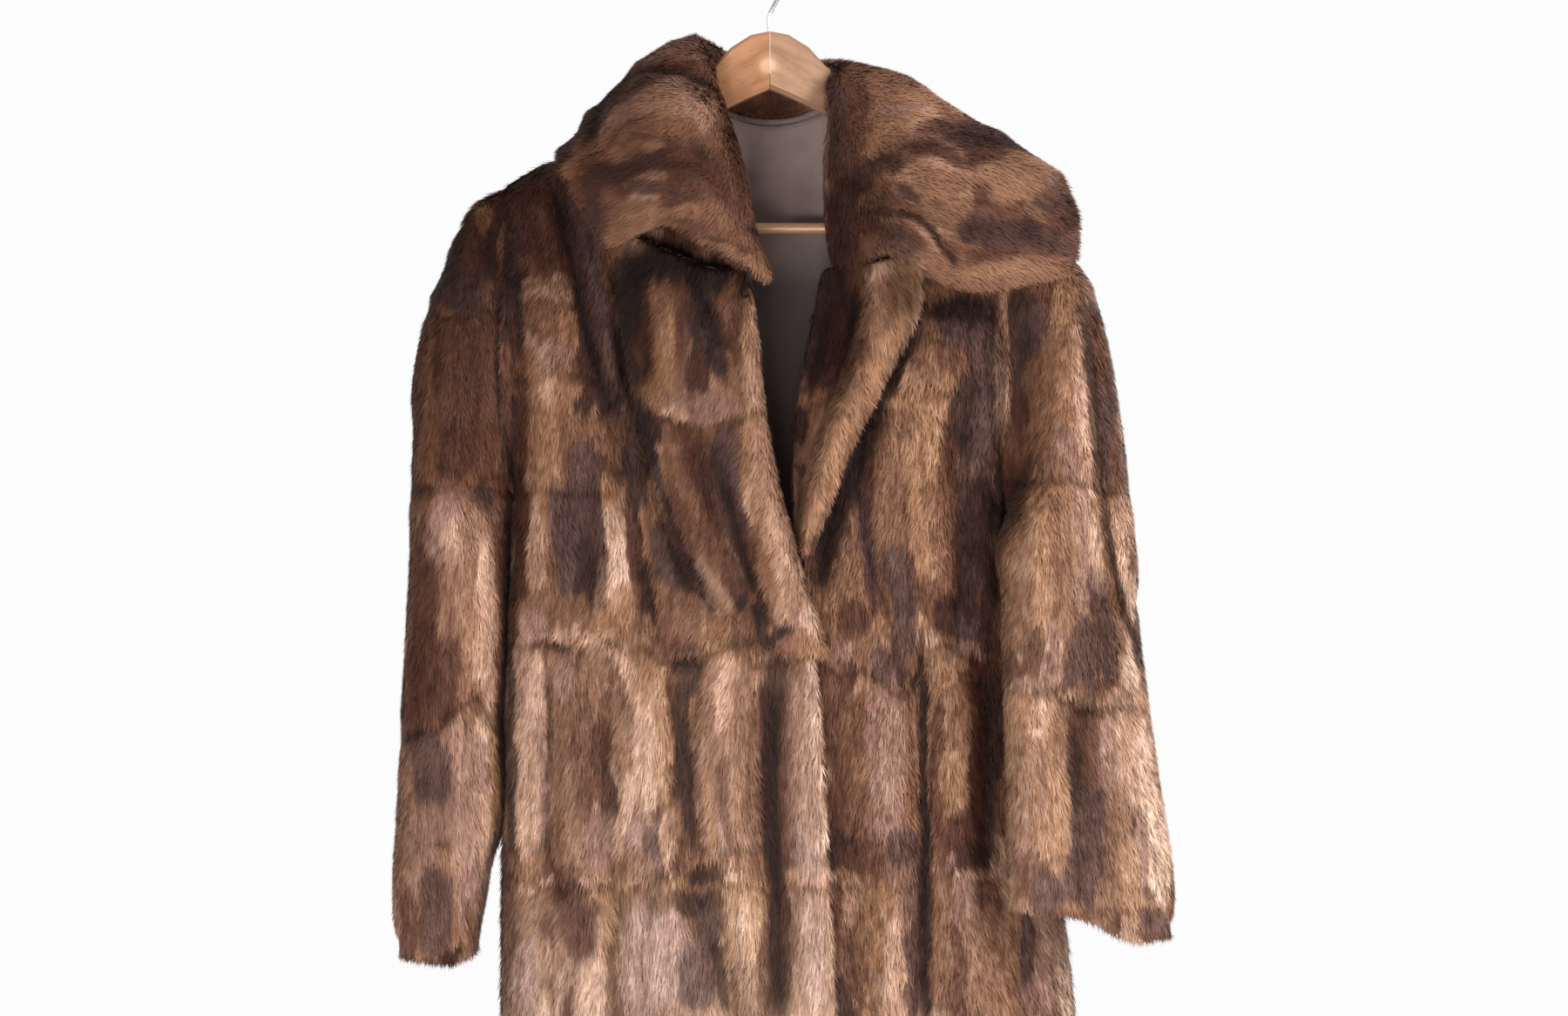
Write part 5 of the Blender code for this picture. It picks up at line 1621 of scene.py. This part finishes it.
def plant(piece, shell):
    """The pile of a shell as one mesh of slim triangles."""
    pile = PILES[piece]
    rng = np.random.default_rng(len(piece) * 31 + 5)
    roots, normals = scatter(shell.data, pile.per_square_mm, rng)
    hairs = len(roots)
    lie = nap(piece, roots)
    lie = unit(lie - normals * (lie * normals).sum(axis=1, keepdims=True))
    side = np.cross(normals, lie)
    locks_across = lattice.at(roots / LOCK) - 0.5
    locks_up = other_lattice.at(roots / LOCK) - 0.5
    lie = unit(lie + side * (LOCK_TURN * locks_across + HAIR_TURN * rng.standard_normal(hairs))[:, None])
    side = np.cross(normals, lie)
    lift = 1 + LOCK_LIFT * locks_up + HAIR_LIFT * rng.standard_normal(hairs)
    lift = np.radians(pile.lift * lift)
    axis = lie * np.cos(lift)[:, None] + normals * np.sin(lift)[:, None]
    length = pile.length * (0.72 + 0.5 * rng.random(hairs))
    across = unit(side + normals * (BLADE_TWIST * rng.standard_normal(hairs))[:, None])
    half = across * (BLADE * (0.75 + 0.5 * rng.random(hairs)) / 2)[:, None]
    corners = np.stack([roots + half, roots - half, roots + axis * length[:, None]], axis=1)
    mesh = blades("pile_" + piece, corners.astype(np.float32))
    light = 1 + CRACKLE[piece] * (rng.random(hairs) - 0.5)
    light *= 1 + 0.5 * CRACKLE[piece] * locks_up
    colour = pelt_colour(piece, roots, normals) * light[:, None]
    paint(mesh, (colour[:, None, :] * ROOT_AND_TIP).reshape(-1, 3))
    soft = unit(normals + NORMAL_TURN * rng.standard_normal((hairs, 3)) + NORMAL_LEAN * axis)
    layer = mesh.attributes.new("custom_normal", "FLOAT_VECTOR", "POINT")
    layer.data.foreach_set("vector", np.repeat(soft, 3, axis=0).astype(np.float32).ravel())
    lay_flat(mesh, piece, roots, normals)
    mesh.materials.append(hair_finish.material)
    print(mesh.name, hairs, "hairs")
    return add_object(mesh.name, mesh)


piles = {piece: plant(piece, shells[piece]) for piece in PILES}
print("hairs in all:", sum(len(pile.data.polygons) for pile in piles.values()))

# %% [markdown]
# ## The lining and the cuffs
# The back's lining shows through the neck. Satin that hangs from the neck seam falls in long soft
# wrinkles, so it gets its own creases. Each cuff is a turned-in strip of short dark fur.

# %% Lining
LINING_CREASES = read_rows(Crease, """
lining_back
    10 1.6: 892,142 894,220 890,300 900,420
    9 -1.3: 910,150 914,240 908,330
    9 1.5: 928,146 924,230 930,330 922,460
    12 1.2: 868,146 872,210 880,260
    7 0.9: 870,290 900,300 935,292
    10 1: 905,380 918,450 922,560
""")
LINING_WAVE = 0.0030
LINING_WAVE_STEPS = (0.03, 0.03, 0.07)
LINING_DEEPEST = -0.0040
LINING_PROUDEST = 0.0006


def one_finish(name, mesh, material):
    """A soft piece with one material all over."""
    soften(mesh)
    mesh.materials.append(material)
    mesh.polygons.foreach_set("material_index", np.zeros(len(mesh.polygons), np.int32))
    return add_object(name, mesh)


def make_lining():
    """The back lining, its wrinkles moved straight back and forth."""
    mesh = soft_copy("lining_back")
    points = read_points(mesh)
    near, _ = facing_fur(mesh, side_shares(mesh)[0])
    depth = crease_depth("lining_back", on_sheet(near), LINING_CREASES)
    depth += LINING_WAVE * (uneven(lattice, near, LINING_WAVE_STEPS) - 0.7)
    points[:, 1] += np.clip(depth, LINING_DEEPEST, LINING_PROUDEST)
    write_points(mesh, points)
    return one_finish("satin_back", mesh, satin.material)


def make_cuff(node):
    """A turned-in cuff, moved as the sleeve's end is."""
    mesh = soft_copy(node, 1)
    points = read_points(mesh)
    write_points(mesh, points + swell(node, on_sheet(points)))
    depth = uneven(lattice, points, 0.006)[:, None]
    paint(mesh, TONES["umber"] * 0.8 + (TONES["russet"] - TONES["umber"]) * depth)
    return one_finish("turned_in_" + node, mesh, under_finish.material)


lining = make_lining()
cuffs = {node: make_cuff(node) for node in ("cuff_right", "cuff_left")}
print("lining faces:", len(lining.data.polygons))

# %% [markdown]
# ## What each piece stands for
# Every shell replaces its packed wall and rides on the coat's one body, as does its pile. The area of
# one side of each piece is printed beside the area it was cut to.

# %% Declarations
Cut = namedtuple("Cut", "wide long area")
CUTS = {
    "back": Cut(0.54, 1.08, 0.50),
    "front_right": Cut(0.34, 1.08, 0.27),
    "front_left": Cut(0.30, 1.08, 0.24),
    "sleeve_right": Cut(0.34, 0.64, 0.19),
    "sleeve_left": Cut(0.36, 0.64, 0.20),
    "collar": Cut(0.62, 0.26, 0.13),
    "lapel_right": Cut(0.14, 0.34, 0.036),
    "lapel_left": Cut(0.12, 0.25, 0.024),
    "lining_back": Cut(0.50, 1.04, 0.45),
    "cuff_right": Cut(0.25, 0.10, 0.024),
    "cuff_left": Cut(0.25, 0.10, 0.024),
}


def settle(piece, node):
    """Puts a piece on the coat in place of its packed wall."""
    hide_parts(node)
    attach(piece, "root")


def declare(piece, node):
    """Prints the area of one side of a piece's shell beside the area of its cut."""
    cut = CUTS[node]
    print(f"{node}: {read(piece.data.polygons, 'area').sum() / 2:.3f} m2 of {cut.area} cut")


for node, shell in shells.items():
    settle(shell, node)
    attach(piles[node], "root")
    declare(shell, node)
settle(fur_hook, "fur_hook")
settle(lining, "lining_back")
declare(lining, "lining_back")
for node, cuff in cuffs.items():
    settle(cuff, node)
    declare(cuff, node)

# %% [markdown]
# ## Backdrop, floor and light
# A pale room with wide soft light keeps the fur's own colours. A large key light from the right and
# above gives the folds their shade. A weaker one fills from the left and a faint one from the top, a
# low one lifts the hem out of the dark, and one behind the coat lights its back.

# %% Stage
FLOOR_REACH = 3.0
FLOOR_Z = -1.75
FLOOR_TONE = np.array((0.86, 0.85, 0.84))
WALL_SEEN = 0.98
WALL_LIGHT = 0.42


def make_floor():
    """A flat pale floor with a faint mottle."""
    corners = [(x * FLOOR_REACH, y * FLOOR_REACH, FLOOR_Z) for x, y in ((-1, -1), (1, -1), (1, 1), (-1, 1))]
    mesh = bpy.data.meshes.new("floor")
    mesh.from_pydata(corners, [], [(0, 1, 2, 3)])
    finish = Finish("floor", Roughness=0.9)
    mottle = finish.noise(finish.place(), 3.0)
    finish.feed("Base Color", blend_colours(mottle, FLOOR_TONE, FLOOR_TONE * 0.97))
    mesh.materials.append(finish.material)
    return add_object("floor", mesh)


make_floor()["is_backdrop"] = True
world = bpy.data.worlds.new("room")
world.use_nodes = True
wall = world.node_tree.nodes["Background"]
wall.inputs["Color"].default_value = (1.0, 1.0, 1.0, 1)
seen = add_node(world.node_tree, "LightPath")
plug_in(wall.inputs["Strength"], seen * (WALL_SEEN - WALL_LIGHT) + WALL_LIGHT)
bpy.context.scene.world = world
bpy.context.scene.view_settings.view_transform = "Standard"
print("room light:", WALL_LIGHT, "seen as", WALL_SEEN)


# %% Lamps
def soft_light(name, place, target, size, watts, tone=(1, 1, 1)):
    """A wide rectangular lamp, turned to a target and not seen itself."""
    data = bpy.data.lights.new(name, "AREA")
    data.shape = "RECTANGLE"
    data.size, data.size_y = size
    data.energy = watts
    data.color = tone
    lamp = add_object(name, data)
    lamp.location = place
    lamp.rotation_euler = (Vector(target) - Vector(place)).to_track_quat("-Z", "Y").to_euler()
    lamp.visible_camera = False


COAT_MIDDLE = (0.03, 0.0, -0.55)
COAT_HEM = (-0.05, 0, -0.95)
soft_light("key", (1.9, -1.3, 0.5), COAT_MIDDLE, (0.8, 1.2), 86, (1.0, 0.99, 0.98))
soft_light("fill", (-2.2, -1.6, 0.3), COAT_MIDDLE, (1.4, 1.6), 22, (0.97, 0.98, 1.0))
soft_light("top", (0.2, -0.7, 1.5), COAT_MIDDLE, (1.0, 1.0), 9)
soft_light("low", (-0.5, -2.5, -1.5), COAT_HEM, (1.2, 1.0), 62)
soft_light("rear", (1.1, 2.4, 0.1), COAT_MIDDLE, (1.4, 1.4), 60, (0.98, 0.99, 1.0))
print("lamps:", len(bpy.data.lights))

# %% [markdown]
# ## The camera
# It stands at the eye of the drawing sheet, level, with a lens that takes in the sheet from edge to edge.

# %% Camera
SENSOR = 36.0
DISTANCE = SHEET_Y - EYE.y
camera_data = bpy.data.cameras.new("camera")
camera_data.sensor_width = SENSOR
camera_data.lens = SENSOR * DISTANCE / (SHEET_WIDE * STEP)
camera = add_object("camera", camera_data)
camera.location = EYE
camera.rotation_euler = (math.pi / 2, 0, 0)
bpy.context.scene.camera = camera
print("lens:", round(camera_data.lens, 2), "mm at", round(DISTANCE, 3), "m")

# %% [markdown]
# ## Last measure
# The looks may stand a little proud of the packed solids. How far, at both ends of each axis, is
# printed in millimetres.

# %% Sizes
seen_box = [list(corner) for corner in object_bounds()]
proud = [[round((b - a) * 1000, 1) for a, b in zip(*ends)] for ends in zip(cad_box, seen_box)]
print("proud of the solids (mm):", proud)
